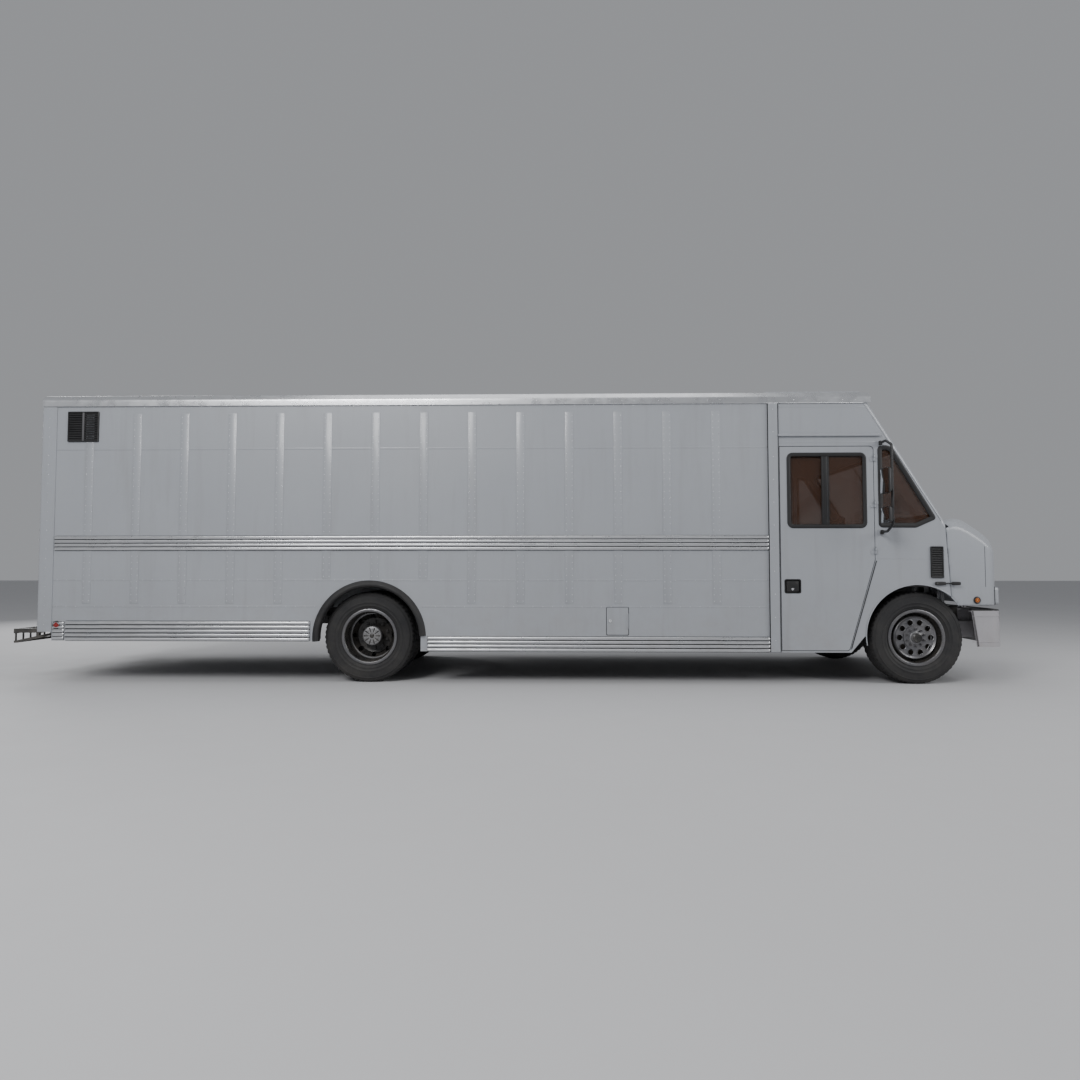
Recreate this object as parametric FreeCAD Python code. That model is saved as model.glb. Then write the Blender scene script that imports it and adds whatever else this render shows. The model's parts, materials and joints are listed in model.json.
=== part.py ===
import FreeCAD, Part
import math
import os

# Walk-in delivery truck (step van) with a tilting hood, two cab doors and two
# rear swing doors.  Everything below is laid out in millimetres with +X
# forward, +Y to the driver's left, +Z up, X = 0 on the rear axle line and
# Z = 0 on the ground.  save() shifts the pieces by -X_CENTRE, so the origin of
# the finished part is the bottom centre of its bounding box.

V = FreeCAD.Vector

# ---------------------------------------------------------------- dimensions
WHEELBASE = 5283.0
HALF_W = 1180.0            # outer face of the body sides
SKIN = 4.0                 # body side sheet
TYRE_R = 440.0             # 19.5 inch wheel, 0.88 m over the tread
TYRE_HALF = 125.0          # half section width
RIM_R = 269.0              # rim flange
BEAD_R = 250.0
X_TAIL = -3525.0           # rear edge of the step bumper
X_NOSE = 6200.0            # front of the bumper
X_CENTRE = (X_TAIL + X_NOSE) / 2

X_REAR = -3240.0           # rear face of the door portal
X_BODY0 = -3090.0          # side panels run from here ...
X_BODY1 = 3860.0           # ... to the B-post
X_CAB0 = 3960.0
FLOOR_T, FLOOR_B = 780.0, 750.0
FRAME_T = 714.0            # top of the frame rails
Z_RAIL = 2722.0            # underside of the roof rail
CROWN_Z, CROWN_Y, CROWN_H = 2850.0, 1120.0, 38.0
CROWN_R = (CROWN_Y ** 2 + CROWN_H ** 2) / (2 * CROWN_H)
POST0, POST_PITCH, POSTS = -2758.0, 471.0, 14

SLOPE = 0.6166             # rearward lean of the windshield, dX per -dZ
XC_REF, ZC_REF = 4771.0, 2720.0
CORNER_R = 60.0
BOW_DEG = 3.2

FRONT_Y = 990.0            # front wheel centre plane
DUAL_OUT, DUAL_IN = 985.0, 695.0
KING_Y = 850.0
ARCH_R, ARCH_X, ARCH_Z = 490.0, 5262.0, 460.0
RARCH_R, RARCH_X, RARCH_Z = 500.0, 20.0, 440.0

# ------------------------------------------------------------------- helpers


def box(x0, x1, y0, y1, z0, z1):
    return Part.makeBox(x1 - x0, y1 - y0, z1 - z0, V(x0, y0, z0))


def cyl(p, d, r, h):
    return Part.makeCylinder(r, h, V(*p), V(*d))


def ring(p, d, r_out, r_in, h):
    return cyl(p, d, r_out, h).cut(cyl(p, d, r_in, h))


def wire2(pts, rad, put):
    """Closed outline through 2-D points, each corner rounded by its radius."""
    n = len(pts)
    if not isinstance(rad, (list, tuple)):
        rad = [rad] * n
    ends, edges = [], []
    for i, (x, y) in enumerate(pts):
        r = rad[i]
        ax, ay = pts[i - 1][0] - x, pts[i - 1][1] - y
        bx, by = pts[(i + 1) % n][0] - x, pts[(i + 1) % n][1] - y
        la, lb = math.hypot(ax, ay), math.hypot(bx, by)
        ax, ay, bx, by = ax / la, ay / la, bx / lb, by / lb
        if r <= 0:
            ends.append(((x, y), None, (x, y)))
            continue
        half = math.acos(max(-1, min(1, ax * bx + ay * by))) / 2
        t = r / math.tan(half)
        mx, my = ax + bx, ay + by
        m = math.hypot(mx, my)
        d = r / math.sin(half) - r
        ends.append(((x + ax * t, y + ay * t), (x + mx / m * d, y + my / m * d),
                     (x + bx * t, y + by * t)))
    for i in range(n):
        a, m, b = ends[i]
        if m is not None:
            edges.append(Part.Arc(put(*a), put(*m), put(*b)).toShape())
        nxt = ends[(i + 1) % n][0]
        if math.hypot(nxt[0] - b[0], nxt[1] - b[1]) > 1e-6:
            edges.append(Part.makeLine(put(*b), put(*nxt)))
    return Part.Wire(edges)


def prism_y(pts, y0, y1, rad=0):
    f = Part.Face(wire2(pts, rad, lambda a, b: V(a, y0, b)))
    return f.extrude(V(0, y1 - y0, 0))


def prism_x(pts, x0, x1, rad=0):
    f = Part.Face(wire2(pts, rad, lambda a, b: V(x0, a, b)))
    return f.extrude(V(x1 - x0, 0, 0))


def prism_z(pts, z0, z1, rad=0):
    f = Part.Face(wire2(pts, rad, lambda a, b: V(a, b, z0)))
    return f.extrude(V(0, 0, z1 - z0))


def rect(x0, x1, z0, z1):
    return [(x0, z0), (x1, z0), (x1, z1), (x0, z1)]


def lathe_y(pts, y0, x, z, side=1):
    """Revolve (radius, offset) points about a Y-parallel axis; offsets grow
    outboard on the given side."""
    f = Part.Face(Part.makePolygon([V(x, side * (y0 + o), z + r) for r, o in pts + pts[:1]]))
    return f.revolve(V(x, 0, z), V(0, 1, 0), 360)


def flip(s):
    return s.mirror(V(0, 0, 0), V(0, 1, 0))


def both(items):
    return list(items) + [flip(s) for s in items]


def join(items):
    s = items[0].multiFuse(items[1:]) if len(items) > 1 else items[0]
    return s.removeSplitter()


def tube(pts, r, bend=0.0):
    """Round bar along a 3-D polyline, with bends of the given radius."""
    pts = [V(*p) for p in pts]
    edges, start = [], pts[0]
    for i in range(1, len(pts)):
        p = pts[i]
        if i < len(pts) - 1 and bend > 0:
            a, b = (pts[i - 1] - p).normalize(), (pts[i + 1] - p).normalize()
            half = math.acos(max(-1, min(1, a.dot(b)))) / 2
            t = bend / math.tan(half)
            q0, q1 = p + a * t, p + b * t
            mid = p + (a + b).normalize() * (bend / math.sin(half) - bend)
            if (q0 - start).Length > 1e-6:
                edges.append(Part.makeLine(start, q0))
            edges.append(Part.Arc(q0, mid, q1).toShape())
            start = q1
        else:
            edges.append(Part.makeLine(start, p))
            start = p
    path = Part.Wire(edges)
    d = (pts[1] - pts[0]).normalize()
    prof = Part.Wire([Part.makeCircle(r, pts[0], d)])
    return path.makePipeShell([prof], True, True)


def solids(items):
    out = []
    for s in items:
        out.extend(s.Solids)
    return out


os.makedirs("parts", exist_ok=True)
made = []


def save(name, items):
    if not isinstance(items, (list, tuple)):
        items = [items]
    parts = []
    for s in solids(items):
        s = s.copy()
        s.translate(V(-X_CENTRE, 0, 0))
        if not s.isValid():
            s.fix(0.01, 0.01, 0.01)
        if s.Volume < 0:
            s.reverse()
        parts.append(s)
    shape = parts[0] if len(parts) == 1 else Part.makeCompound(parts)
    shape.exportStep("parts/%s.step" % name)
    made.append((name, len(parts), shape.isValid(), sum(p.Volume for p in parts)))


def crown(y, r):
    return CROWN_Z - CROWN_R + math.sqrt(r * r - y * y)


def crown_strip(x0, x1, half, r0, r1):
    """Plate between two roof-crown radii, |Y| <= half."""
    e = [Part.Arc(V(x0, -half, crown(half, r1)), V(x0, 0, crown(0, r1)), V(x0, half, crown(half, r1))).toShape(),
         Part.makeLine(V(x0, half, crown(half, r1)), V(x0, half, crown(half, r0))),
         Part.Arc(V(x0, half, crown(half, r0)), V(x0, 0, crown(0, r0)), V(x0, -half, crown(half, r0))).toShape(),
         Part.makeLine(V(x0, -half, crown(half, r0)), V(x0, -half, crown(half, r1)))]
    return Part.Face(Part.Wire(e)).extrude(V(x1 - x0, 0, 0))


def xc(z):
    return XC_REF + (ZC_REF - z) * SLOPE


def front_region(inset, z0, z1, x_back):
    """Everything behind the leaning, slightly bowed front, inset by a depth."""
    b = math.radians(BOW_DEG)
    r = CORNER_R - inset
    yc = HALF_W - CORNER_R
    x = xc(z0)
    xe, ye = x + r * math.cos(b), yc + r * math.sin(b)
    sag = ye * math.tan(b / 2)
    h = math.radians(45)
    e = [Part.makeLine(V(x_back, -yc - r, z0), V(x, -yc - r, z0)),
         Part.Arc(V(x, -yc - r, z0), V(x + r * math.cos(h), -yc - r * math.sin(h), z0), V(xe, -ye, z0)).toShape(),
         Part.Arc(V(xe, -ye, z0), V(xe + sag, 0, z0), V(xe, ye, z0)).toShape(),
         Part.Arc(V(xe, ye, z0), V(x + r * math.cos(h), yc + r * math.sin(h), z0), V(x, yc + r, z0)).toShape(),
         Part.makeLine(V(x, yc + r, z0), V(x_back, yc + r, z0)),
         Part.makeLine(V(x_back, yc + r, z0), V(x_back, -yc - r, z0))]
    return Part.Face(Part.Wire(e)).extrude(V(-SLOPE * (z1 - z0), 0, z1 - z0))


# ------------------------------------------------------------- ladder frame
def rail():
    prof = [(-3200, 520), (4700, 520), (5000, 557), (6040, 557), (6040, FRAME_T), (-3200, FRAME_T)]
    web = prism_y(prof, 424, 432)
    top = box(-3200, 6040, 362, 424, FRAME_T - 8, FRAME_T)
    low = prism_y([(-3200, 520), (4700, 520), (5000, 557), (6040, 557), (6040, 565), (4999, 565), (4699, 528), (-3200, 528)], 362, 424)
    return join([web, top, low])


frame = both([rail()])
for x in (-3160, -1900, 700, 2870, 3790):
    frame.append(box(x - 35, x + 35, -424, 424, 640, 700))
frame.append(box(1865, 1935, -424, 424, 640, 700))
frame.append(box(5740, 5800, -424, 424, 570, 640))
# centre bearing of the driveshaft hangs from its cross member
SHAFT_A, SHAFT_B = (244.0, 460.0), (4006.0, 600.0)
shaft_tan = (SHAFT_B[1] - SHAFT_A[1]) / (SHAFT_B[0] - SHAFT_A[0])
zb = SHAFT_A[1] + (1900 - SHAFT_A[0]) * shaft_tan
frame.append(join([ring((1880, 0, zb), (1, 0, 0), 85, 52, 40), box(1880, 1920, -20, 20, zb + 80, 640)]))
# spring hangers
for x in (5283 - 660, 5283 + 660):
    frame += both([box(x - 30, x + 30, 365, 423, 505, 520 if x < 4700 else 557)])
for x in (-640, 640):
    frame += both([box(x - 30, x + 30, 432, 450, 560, 700)])
save("chassis_frame", frame)

# -------------------------------------------------------------- cargo floor
deck = box(-3086, 3856, -1128, 1128, FLOOR_B, FLOOR_T)
wells = []
for s in (1, -1):
    y0, y1 = sorted((s * 540, s * 1176))
    deck = deck.cut(box(-530, 530, y0, y1, FLOOR_B - 1, FLOOR_T + 1))
    outer = box(-530, 530, y0, y1, 700, 990)
    yi0, yi1 = sorted((s * 546, s * 1177))
    wells.append(outer.cut(box(-524, 524, yi0, yi1, 690, 984)))
deck = join([deck] + wells)
bearers = []
for k in range(15):
    x = POST0 - 235 + POST_PITCH * k
    half = 536 if -600 < x < 600 else 1125
    bearers.append(box(x - 30, x + 30, -half, half, FRAME_T, FLOOR_B))
save("cargo_floor", [deck] + bearers)

# -------------------------------------------------------------- side panels
def arch_cut(x, z, r, y0, y1):
    return join([cyl((x, y0, z), (0, 1, 0), r, y1 - y0), box(x - r, x + r, y0, y1, z - 400, z)])


def side_sheet():
    pts = [(X_BODY0, 406), (20, 406), (20, 310), (X_BODY1, 310), (X_BODY1, 2750), (X_BODY0, 2750)]
    s = prism_y(pts, HALF_W - SKIN, HALF_W)
    return s.cut(arch_cut(RARCH_X, RARCH_Z, RARCH_R, HALF_W - 30, HALF_W + 30))


FUEL = (2306, 2519, 468, 735)
left_side = side_sheet()
right_side = flip(side_sheet()).cut(prism_y(rect(*FUEL), -HALF_W - 10, -HALF_W + 30, 14))
save("side_panels", [left_side, right_side])

# --------------------------------------------- wall posts and roof bows
posts = []
for k in range(POSTS):
    x = POST0 + POST_PITCH * k
    z0 = 991 if abs(x) < 560 else FLOOR_T + 1
    posts += both([box(x - 25, x + 25, 1131, HALF_W - SKIN, z0, 2700)])
    posts.append(crown_strip(x - 25, x + 25, 1100, CROWN_R - 45, CROWN_R - 5))
# steel cargo tie rails along both walls
for z in (1150, 1750):
    posts += both([box(-2700, 3380, 1125, 1131, z, z + 90)])
save("wall_posts_and_roof_bows", posts)

# --------------------------------------------------------------------- roof
save("roof_panel", crown_strip(-3236, 3856, CROWN_Y, CROWN_R - 5, CROWN_R))

rail_pts = [(1180, 2700), (1188, 2700), (1188, 2764), (1134, 2818), (CROWN_Y, 2818), (CROWN_Y, 2804), (1131, 2804), (1176, 2760), (1180, 2752)]
roof_rail = prism_x(rail_pts, -3236, 4850, [0, 0, 40, 40, 0, 0, 0, 0, 0])
roof_rail = roof_rail.cut(prism_y([(xc(2680), 2680), (xc(2680) + 400, 2680), (xc(2850) + 400, 2850), (xc(2850), 2850)], 1000, 1300))
save("roof_rails", both([roof_rail]))

# --------------------------------------------------------- rear door portal
post_out = prism_z([(X_REAR, 1062), (X_REAR, 1186), (X_BODY0, 1186), (X_BODY0, 1180.2), (X_BODY0 - 6, 1180.2), (X_REAR + 6, 1180.2),
                    (X_REAR + 6, 1068), (X_REAR + 60, 1068), (X_REAR + 60, 1062)], 490, 2699,
                   [0, 22, 0, 0, 0, 16, 0, 0, 0])
post_up = prism_z([(X_REAR, 1062), (X_REAR, 1118), (X_REAR + 60, 1118), (X_REAR + 60, 1062)], 2699, 2770)
portal = both([post_out, post_up])
portal += [box(X_REAR, X_REAR + 60, -1062, 1062, 2630, 2770),
           box(X_REAR, X_REAR + 100, -1062, 1062, 716, 779),
           box(X_REAR, X_REAR + 6, -1062, 1062, 545, 716)]
portal = join(portal)
PLATE = (0.0, 640.0)
for y in (-88.9, 88.9):
    for z in (-60.325, 60.325):
        portal = portal.cut(cyl((X_REAR - 5, PLATE[0] + y, PLATE[1] + z), (1, 0, 0), 3.5, 20))
# hinge knuckles on the corner posts
REAR_AXIS = (-3270.0, 1100.0)
DOOR_HINGE_Z = (900, 1700, 2500)
pins = []
for z in DOOR_HINGE_Z:
    pins.append(join([ring((REAR_AXIS[0], REAR_AXIS[1], z), (0, 0, 1), 12, 6, 40),
                      box(REAR_AXIS[0] + 8, X_REAR, REAR_AXIS[1] + 2, REAR_AXIS[1] + 10, z, z + 40),
                      box(X_REAR - 6, X_REAR, REAR_AXIS[1] + 2, REAR_AXIS[1] + 55, z, z + 40)]))
    pins.append(cyl((REAR_AXIS[0], REAR_AXIS[1], z - 42), (0, 0, 1), 5.6, 84))
save("rear_portal", portal)
save("rear_hinges", both(pins))

# ---------------------------------------------------------------- rub rails
def ribbed(z0, z1, ribs, depth, x0, x1):
    """Extruded guard rail with rounded ribs."""
    p = (z1 - z0) / ribs
    pts = [(HALF_W, z0)]
    for i in range(ribs):
        a = z0 + i * p
        pts += [(HALF_W + depth * .45, a + p * .06), (HALF_W + depth, a + p * .26), (HALF_W + depth, a + p * .74),
                (HALF_W + depth * .45, a + p * .94)]
    pts.append((HALF_W, z1))
    return prism_x(pts, x0, x1)


rub = both([ribbed(1280, 1425, 4, 18, X_BODY0 + 4, X_BODY1 - 1),
            ribbed(402, 599, 5, 24, -2956, -553),
            ribbed(307, 455, 4, 22, 582, X_BODY1 - 1)])
save("rub_rails", rub)

# ------------------------------------------------------------- wheel flares
def flare():
    lip = ring((RARCH_X, HALF_W, RARCH_Z), (0, 1, 0), 550, 486, 26)
    inner = ring((RARCH_X, HALF_W - 34, RARCH_Z), (0, 1, 0), 500, 486, 34)
    s = join([lip, inner])
    s = s.cut(box(-600, RARCH_X, 1000, 1300, -200, 402))
    return s.cut(box(RARCH_X, 700, 1000, 1300, -200, 458))


save("wheel_flares", both([flare()]))

# ---------------------------------------------------------------- cab shell
N = V(1, 0, SLOPE).normalize()      # outward normal of the windshield
S = V(-SLOPE, 0, 1).normalize()     # up the windshield


def on_glass(y, z, off):
    """Point off the glass crown plane, along its normal."""
    b = math.radians(BOW_DEG)
    sag = (HALF_W - CORNER_R) * math.tan(b / 2)
    x = xc(z) + CORNER_R + sag
    return V(x, y, z) + N * off


DOOR_OPEN = [(3969, 321), (4614, 321), (4871, 1188), (4871, 2283), (3969, 2283)]
DOOR_LEAF = [(3975, 327), (4609, 327), (4865, 1190), (4865, 2277), (3975, 2277)]
QUARTER = [(4915, 1504), (5259, 1502), (5445, 1584), (5042, 2262), (4990, 2280), (4915, 2280)]
QUARTER_R = [34, 60, 22, 40, 30, 40]
WS_Y, WS_Z0, WS_Z1 = 1060.0, 1612.0, 2270.0
SHELL = 30.0


def cab_solid(inset):
    yy = HALF_W - inset
    top = CROWN_R + 12 - inset
    sh = Z_RAIL - inset * 0.8
    half = CROWN_Y - inset
    e = [Part.makeLine(V(X_CAB0 - 100, -yy, 307 - inset), V(X_CAB0 - 100, -yy, sh)),
         Part.makeLine(V(X_CAB0 - 100, -yy, sh), V(X_CAB0 - 100, -half, sh)),
         Part.makeLine(V(X_CAB0 - 100, -half, sh), V(X_CAB0 - 100, -half, crown(half, top))),
         Part.Arc(V(X_CAB0 - 100, -half, crown(half, top)), V(X_CAB0 - 100, 0, crown(0, top)), V(X_CAB0 - 100, half, crown(half, top))).toShape(),
         Part.makeLine(V(X_CAB0 - 100, half, crown(half, top)), V(X_CAB0 - 100, half, sh)),
         Part.makeLine(V(X_CAB0 - 100, half, sh), V(X_CAB0 - 100, yy, sh)),
         Part.makeLine(V(X_CAB0 - 100, yy, sh), V(X_CAB0 - 100, yy, 307 - inset)),
         Part.makeLine(V(X_CAB0 - 100, yy, 307 - inset), V(X_CAB0 - 100, -yy, 307 - inset))]
    tunnel = Part.Face(Part.Wire(e)).extrude(V(2200, 0, 0))
    front = front_region(inset, 200, 2950, 3000)
    x0 = X_CAB0 - 100 - (50 if inset else 0)
    side = [(x0, 200), (x0, 2950), (5900, 2950), (5900, 1529), (5533 - inset, 1529), (5577 - inset, 800), (5577 - inset, 200)]
    if inset:
        side = [(x0, 200), (x0, 2950), (5900, 2950), (5900, 1529 + inset), (5533 - inset, 1529 + inset), (5533 - inset, 1529),
                (5577 - inset, 800), (5577 - inset, 200)]
    prof = prism_y(side, -1300, 1300)
    return tunnel.common(front).common(prof)


shell = cab_solid(0).cut(cab_solid(SHELL))
for s in (1, -1):
    y0, y1 = sorted((s * 1100, s * 1230))
    shell = shell.cut(prism_y(DOOR_OPEN, y0, y1, [0, 30, 0, 40, 12]))
    shell = shell.cut(prism_y(QUARTER, y0, y1, QUARTER_R))
    shell = shell.cut(cyl((ARCH_X, y0, ARCH_Z), (0, 1, 0), ARCH_R, y1 - y0))
    shell = shell.cut(prism_y([(4757, 460), (4622, 300), (5800, 300), (5760, 460)], y0, y1))
ws_cut = prism_x([(-WS_Y, WS_Z0), (WS_Y, WS_Z0), (WS_Y, WS_Z1), (-WS_Y, WS_Z1)], 4700, 5800, 72)
shell = shell.cut(ws_cut)
shell = shell.cut(box(5480, 5600, -306, 306, 200, 1252))
shell = shell.cut(box(5480, 5600, -1151, 1151, 200, 930))
# raised B-post strip and roof gutter on each side
trim = both([box(3862, X_CAB0, HALF_W, HALF_W + 12, 312, 2699),
             prism_x([(HALF_W, 2377), (HALF_W + 22, 2377), (HALF_W + 22, 2396), (HALF_W + 14, 2396), (HALF_W, 2404)], X_CAB0, xc(2390) - 40)])
# door hinge knuckles on the front posts
DOOR_AXIS = (4874.0, 1190.0)
CAB_HINGE_Z = (1245, 1690, 2135)
knuckles = []
for z in CAB_HINGE_Z:
    knuckles.append(box(4876, 4906, HALF_W, HALF_W + 4, z + 31, z + 59))
    knuckles.append(ring((DOOR_AXIS[0], DOOR_AXIS[1], z + 31), (0, 0, 1), 9, 4.5, 28))
    knuckles.append(box(4874, 4884, HALF_W, HALF_W + 4, z + 31, z + 59).cut(cyl((DOOR_AXIS[0], DOOR_AXIS[1], z), (0, 0, 1), 4.6, 100)))
# mirror bases
MIRROR_X, MIRROR_Y = 4926.0, 1208.0
for z in (2284, 1430):
    trim += both([box(4902, 4950, HALF_W, HALF_W + 9, z - 4, z + 44)])
shell = join([shell] + trim + both(knuckles))
# side walls, roof cap and firewall are separate panels seamed together
side_l = shell.common(box(3800, 6200, 1138, 1300, 0, 3000))
side_r = shell.common(box(3800, 6200, -1300, -1138, 0, 3000))
cap_p = shell.common(box(3800, 6200, -1138, 1138, 1518, 3000))
wall_p = shell.common(box(3800, 6200, -1138, 1138, 0, 1518))
for s in (1, -1):
    piv = on_glass(s * 880, 1592, 0)
    cap_p = cap_p.cut(Part.makeCylinder(11.6, 95, piv - N * 43.5, N))
save("cab_shell", [side_l, side_r, cap_p, wall_p])

# ----------------------------------------------------------- fixed cab glass
pane = front_region(6, 1500, 2400, 4000).cut(front_region(12, 1500, 2400, 3990))
pane = pane.common(ws_cut)
quarter = prism_y(QUARTER, 1160, 1166, QUARTER_R)
save("cab_glass", [pane] + both([quarter]))

# ---------------------------------------------------------------- cab floor
def lining():
    it = [box(3902, 4734, -560, 860, FLOOR_B, FLOOR_T), box(4734, 5020, -572, 572, FLOOR_B, FLOOR_T)]
    for s, yi in ((-1, 560), (1, 860)):
        f = (lambda b: b) if s == 1 else flip
        it += [f(box(3902, 4734, yi, 1146, 398, 406)), f(box(3902, 4734, yi, yi + 6, 406, FLOOR_T)),
               f(box(3902, 3908, yi, 1146, 406, FLOOR_T)), f(box(4728, 4734, yi, 1146, 406, 936))]
    it.append(box(4728, 4734, 566, 866, FLOOR_B, 936))
    for s in (1, -1):
        f = (lambda b: b) if s == 1 else flip
        it += [f(box(4734, 5503, 572, 1146, 930, 936)), f(box(4734, 5503, 566, 572, 700, 936)),
               f(box(5014, 5020, 306, 572, FLOOR_T, 936)), f(box(5020, 5503, 306, 572, 930, 936))]
    s = join(it)
    return s.cut(box(4530, 5100, -306, 306, 700, 800))


dog = box(4530, 5503, -306, 306, FLOOR_B, 1250).cut(box(4536, 5510, -300, 300, 700, 1244))
dog = dog.makeFillet(40, [e for e in dog.Edges if abs(e.BoundBox.ZMin - 1250) < 1 and abs(e.BoundBox.ZMax - 1250) < 1 and e.BoundBox.XLength > 500])
pedestal = join([box(4430, 4720, 430, 710, FLOOR_T, 800), box(4470, 4680, 480, 660, 800, 1060), box(4430, 4720, 430, 710, 1060, 1080)])
save("cab_floor", [lining(), dog, pedestal])

# ---------------------------------------------------------------- dashboard
dash_pts = [(5330, 1260), (5495, 1260), (5495, 1496), (5400, 1496), (5330, 1440)]
dash = prism_y(dash_pts, -1140, 1140, [10, 0, 0, 30, 20])
dash = dash.cut(box(5320, 5600, -306, 306, 1200, 1252))
WHEEL_C = (5070.0, 570.0, 1600.0)
n = V(-0.5, 0, math.sqrt(0.75))
c0 = V(*WHEEL_C) - n * 40
column = cyl((c0.x, c0.y, c0.z), (-n.x, -n.y, -n.z), 26, 330)
col_arm = box(5225, 5332, 545, 595, 1275, 1315)
column = join([column, col_arm])
PEDAL = (5090.0, 1260.0)
hanger = join([box(5060, 5332, 346, 366, 1240, 1285), cyl((PEDAL[0], 346, PEDAL[1]), (0, 1, 0), 8, 180), box(5060, 5332, 514, 526, 1240, 1285)])
cluster = prism_y([(5290, 1500), (5420, 1500), (5380, 1580), (5330, 1580)], 420, 720, [0, 0, 20, 20])
save("dashboard", [dash, column, hanger, cluster])

# ------------------------------------------------------------------ bumpers
def bumper_wall(inset, z0, z1):
    yo = 1150 - inset
    r = 150 - inset
    cxx, cyy = 5955, 1000
    h = math.radians(45)
    b = math.radians(5.1)
    xe, ye = cxx + r * math.cos(b), cyy + r * math.sin(b)
    nose = 6200 - inset
    pts = [V(5500, -yo, z0), V(cxx, -yo, z0)]
    e = [Part.makeLine(pts[0], pts[1]),
         Part.Arc(pts[1], V(cxx + r * math.cos(h), -cyy - r * math.sin(h), z0), V(xe, -ye, z0)).toShape(),
         Part.Arc(V(xe, -ye, z0), V(nose, 0, z0), V(xe, ye, z0)).toShape(),
         Part.Arc(V(xe, ye, z0), V(cxx + r * math.cos(h), cyy + r * math.sin(h), z0), V(cxx, yo, z0)).toShape(),
         Part.makeLine(V(cxx, yo, z0), V(5500, yo, z0)),
         Part.makeLine(V(5500, yo, z0), V(5500, -yo, z0))]
    return Part.Face(Part.Wire(e)).extrude(V(0, 0, z1 - z0))


bump = bumper_wall(0, 361, 702).cut(bumper_wall(8, 350, 694))
bump = bump.cut(prism_y([(5400, 300), (5827, 300), (5827, 361), (5778, 702), (5778, 800), (5400, 800)], -1200, 1200))
bump = bump.cut(box(5700, 6092, -1100, 1100, 600, 800))
arm = join([box(5640, 6110, 440, 470, 395, 468), box(6010, 6110, 434, 470, 468, 560)])
bump = join([bump, arm.common(bumper_wall(8, 350, 694)), flip(arm.common(bumper_wall(8, 350, 694))),
             box(6041, 6300, 366, 432, 562, 690).common(bumper_wall(8, 350, 694)),
             flip(box(6041, 6300, 366, 432, 562, 690).common(bumper_wall(8, 350, 694))),
             box(6020, 6300, 434, 470, 395, 560).common(bumper_wall(8, 350, 694)),
             flip(box(6020, 6300, 434, 470, 395, 560).common(bumper_wall(8, 350, 694)))])
# round openings for the tow pins
TOW = (620.0, 500.0, 32.0)
for s in (1, -1):
    bump = bump.cut(cyl((6000, s * TOW[0], TOW[1]), (1, 0, 0), TOW[2], 300))
HOOD_PIN = (6130.0, 735.0)
for s in (1, -1):
    for y0 in (344, 398):
        a, b = sorted((s * y0, s * (y0 + 24)))
        ear = join([cyl((HOOD_PIN[0], a, HOOD_PIN[1]), (0, 1, 0), 12, 24), box(6118, 6142, a, b, 698, 735)])
        bump = bump.fuse(ear)
    a, b = sorted((s * 344, s * 422))
    bump = bump.fuse(cyl((HOOD_PIN[0], a, HOOD_PIN[1]), (0, 1, 0), 6.6, b - a))
save("front_bumper", bump.removeSplitter())

step = []
step += [box(X_TAIL, X_TAIL + 34, -1100, 1100, 468, 513), box(X_TAIL + 250, X_TAIL + 276, -1100, 1100, 476, 513)]
step += both([box(X_TAIL, X_REAR - 8, 1072, 1100, 473, 513)])
for i in range(12):
    y = -1072 + (i + 1) * 2144 / 13
    step.append(box(X_TAIL + 34, X_TAIL + 250, y - 4, y + 4, 486, 508))
for i in range(4):
    step.append(box(X_TAIL + 70 + 44 * i, X_TAIL + 78 + 44 * i, -1072, 1072, 492, 508))
step.append(box(X_TAIL + 4, X_TAIL + 28, -1100, 1100, 374, 396))
for i in range(23):
    y = -1089 + i * 99
    step.append(box(X_TAIL + 10, X_TAIL + 22, y - 6, y + 6, 396, 468))
brace = prism_y([(X_TAIL + 4, 374), (X_TAIL + 28, 374), (-3140, 452), (-3140, 476), (X_TAIL + 28, 398), (X_TAIL + 4, 396)], 1072, 1100)
step += both([brace, box(-3300, -3270, 1072, 1100, 440, 476)])
arm = prism_y([(X_TAIL + 34, 486), (X_TAIL + 34, 440), (-3180, 440), (-3050, 519), (-3190, 519), (-3249, 486)], 366, 420)
step += both([arm])
save("rear_step_bumper", join(step))

# ------------------------------------------------------------ louvred vents
def louvre(x0, x1, z0, z1, columns, slats):
    b = 10
    it = [box(x0, x1, HALF_W, HALF_W + 14, z0, z0 + b), box(x0, x1, HALF_W, HALF_W + 14, z1 - b, z1),
          box(x0, x0 + b, HALF_W, HALF_W + 14, z0, z1), box(x1 - b, x1, HALF_W, HALF_W + 14, z0, z1),
          box(x0, x1, HALF_W, HALF_W + 2, z0, z1)]
    w = (x1 - x0 - 2 * b - (columns - 1) * 20) / columns
    for c in range(columns):
        xa = x0 + b + c * (w + 20)
        if c:
            it.append(box(xa - 20, xa, HALF_W, HALF_W + 12, z0, z1))
        h = (z1 - z0 - 2 * b) / slats
        for i in range(slats):
            z = z0 + b + i * h
            it.append(prism_x([(HALF_W + 1, z + h * .35), (HALF_W + 13, z + h * .02), (HALF_W + 13, z + h * .22), (HALF_W + 1, z + h * .62)], xa, xa + w))
    return join(it)


save("louvre_vents", both([louvre(-2980, -2670, 2350, 2650, 2, 12), louvre(5387, 5508, 1015, 1316, 1, 13)]))

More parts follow.
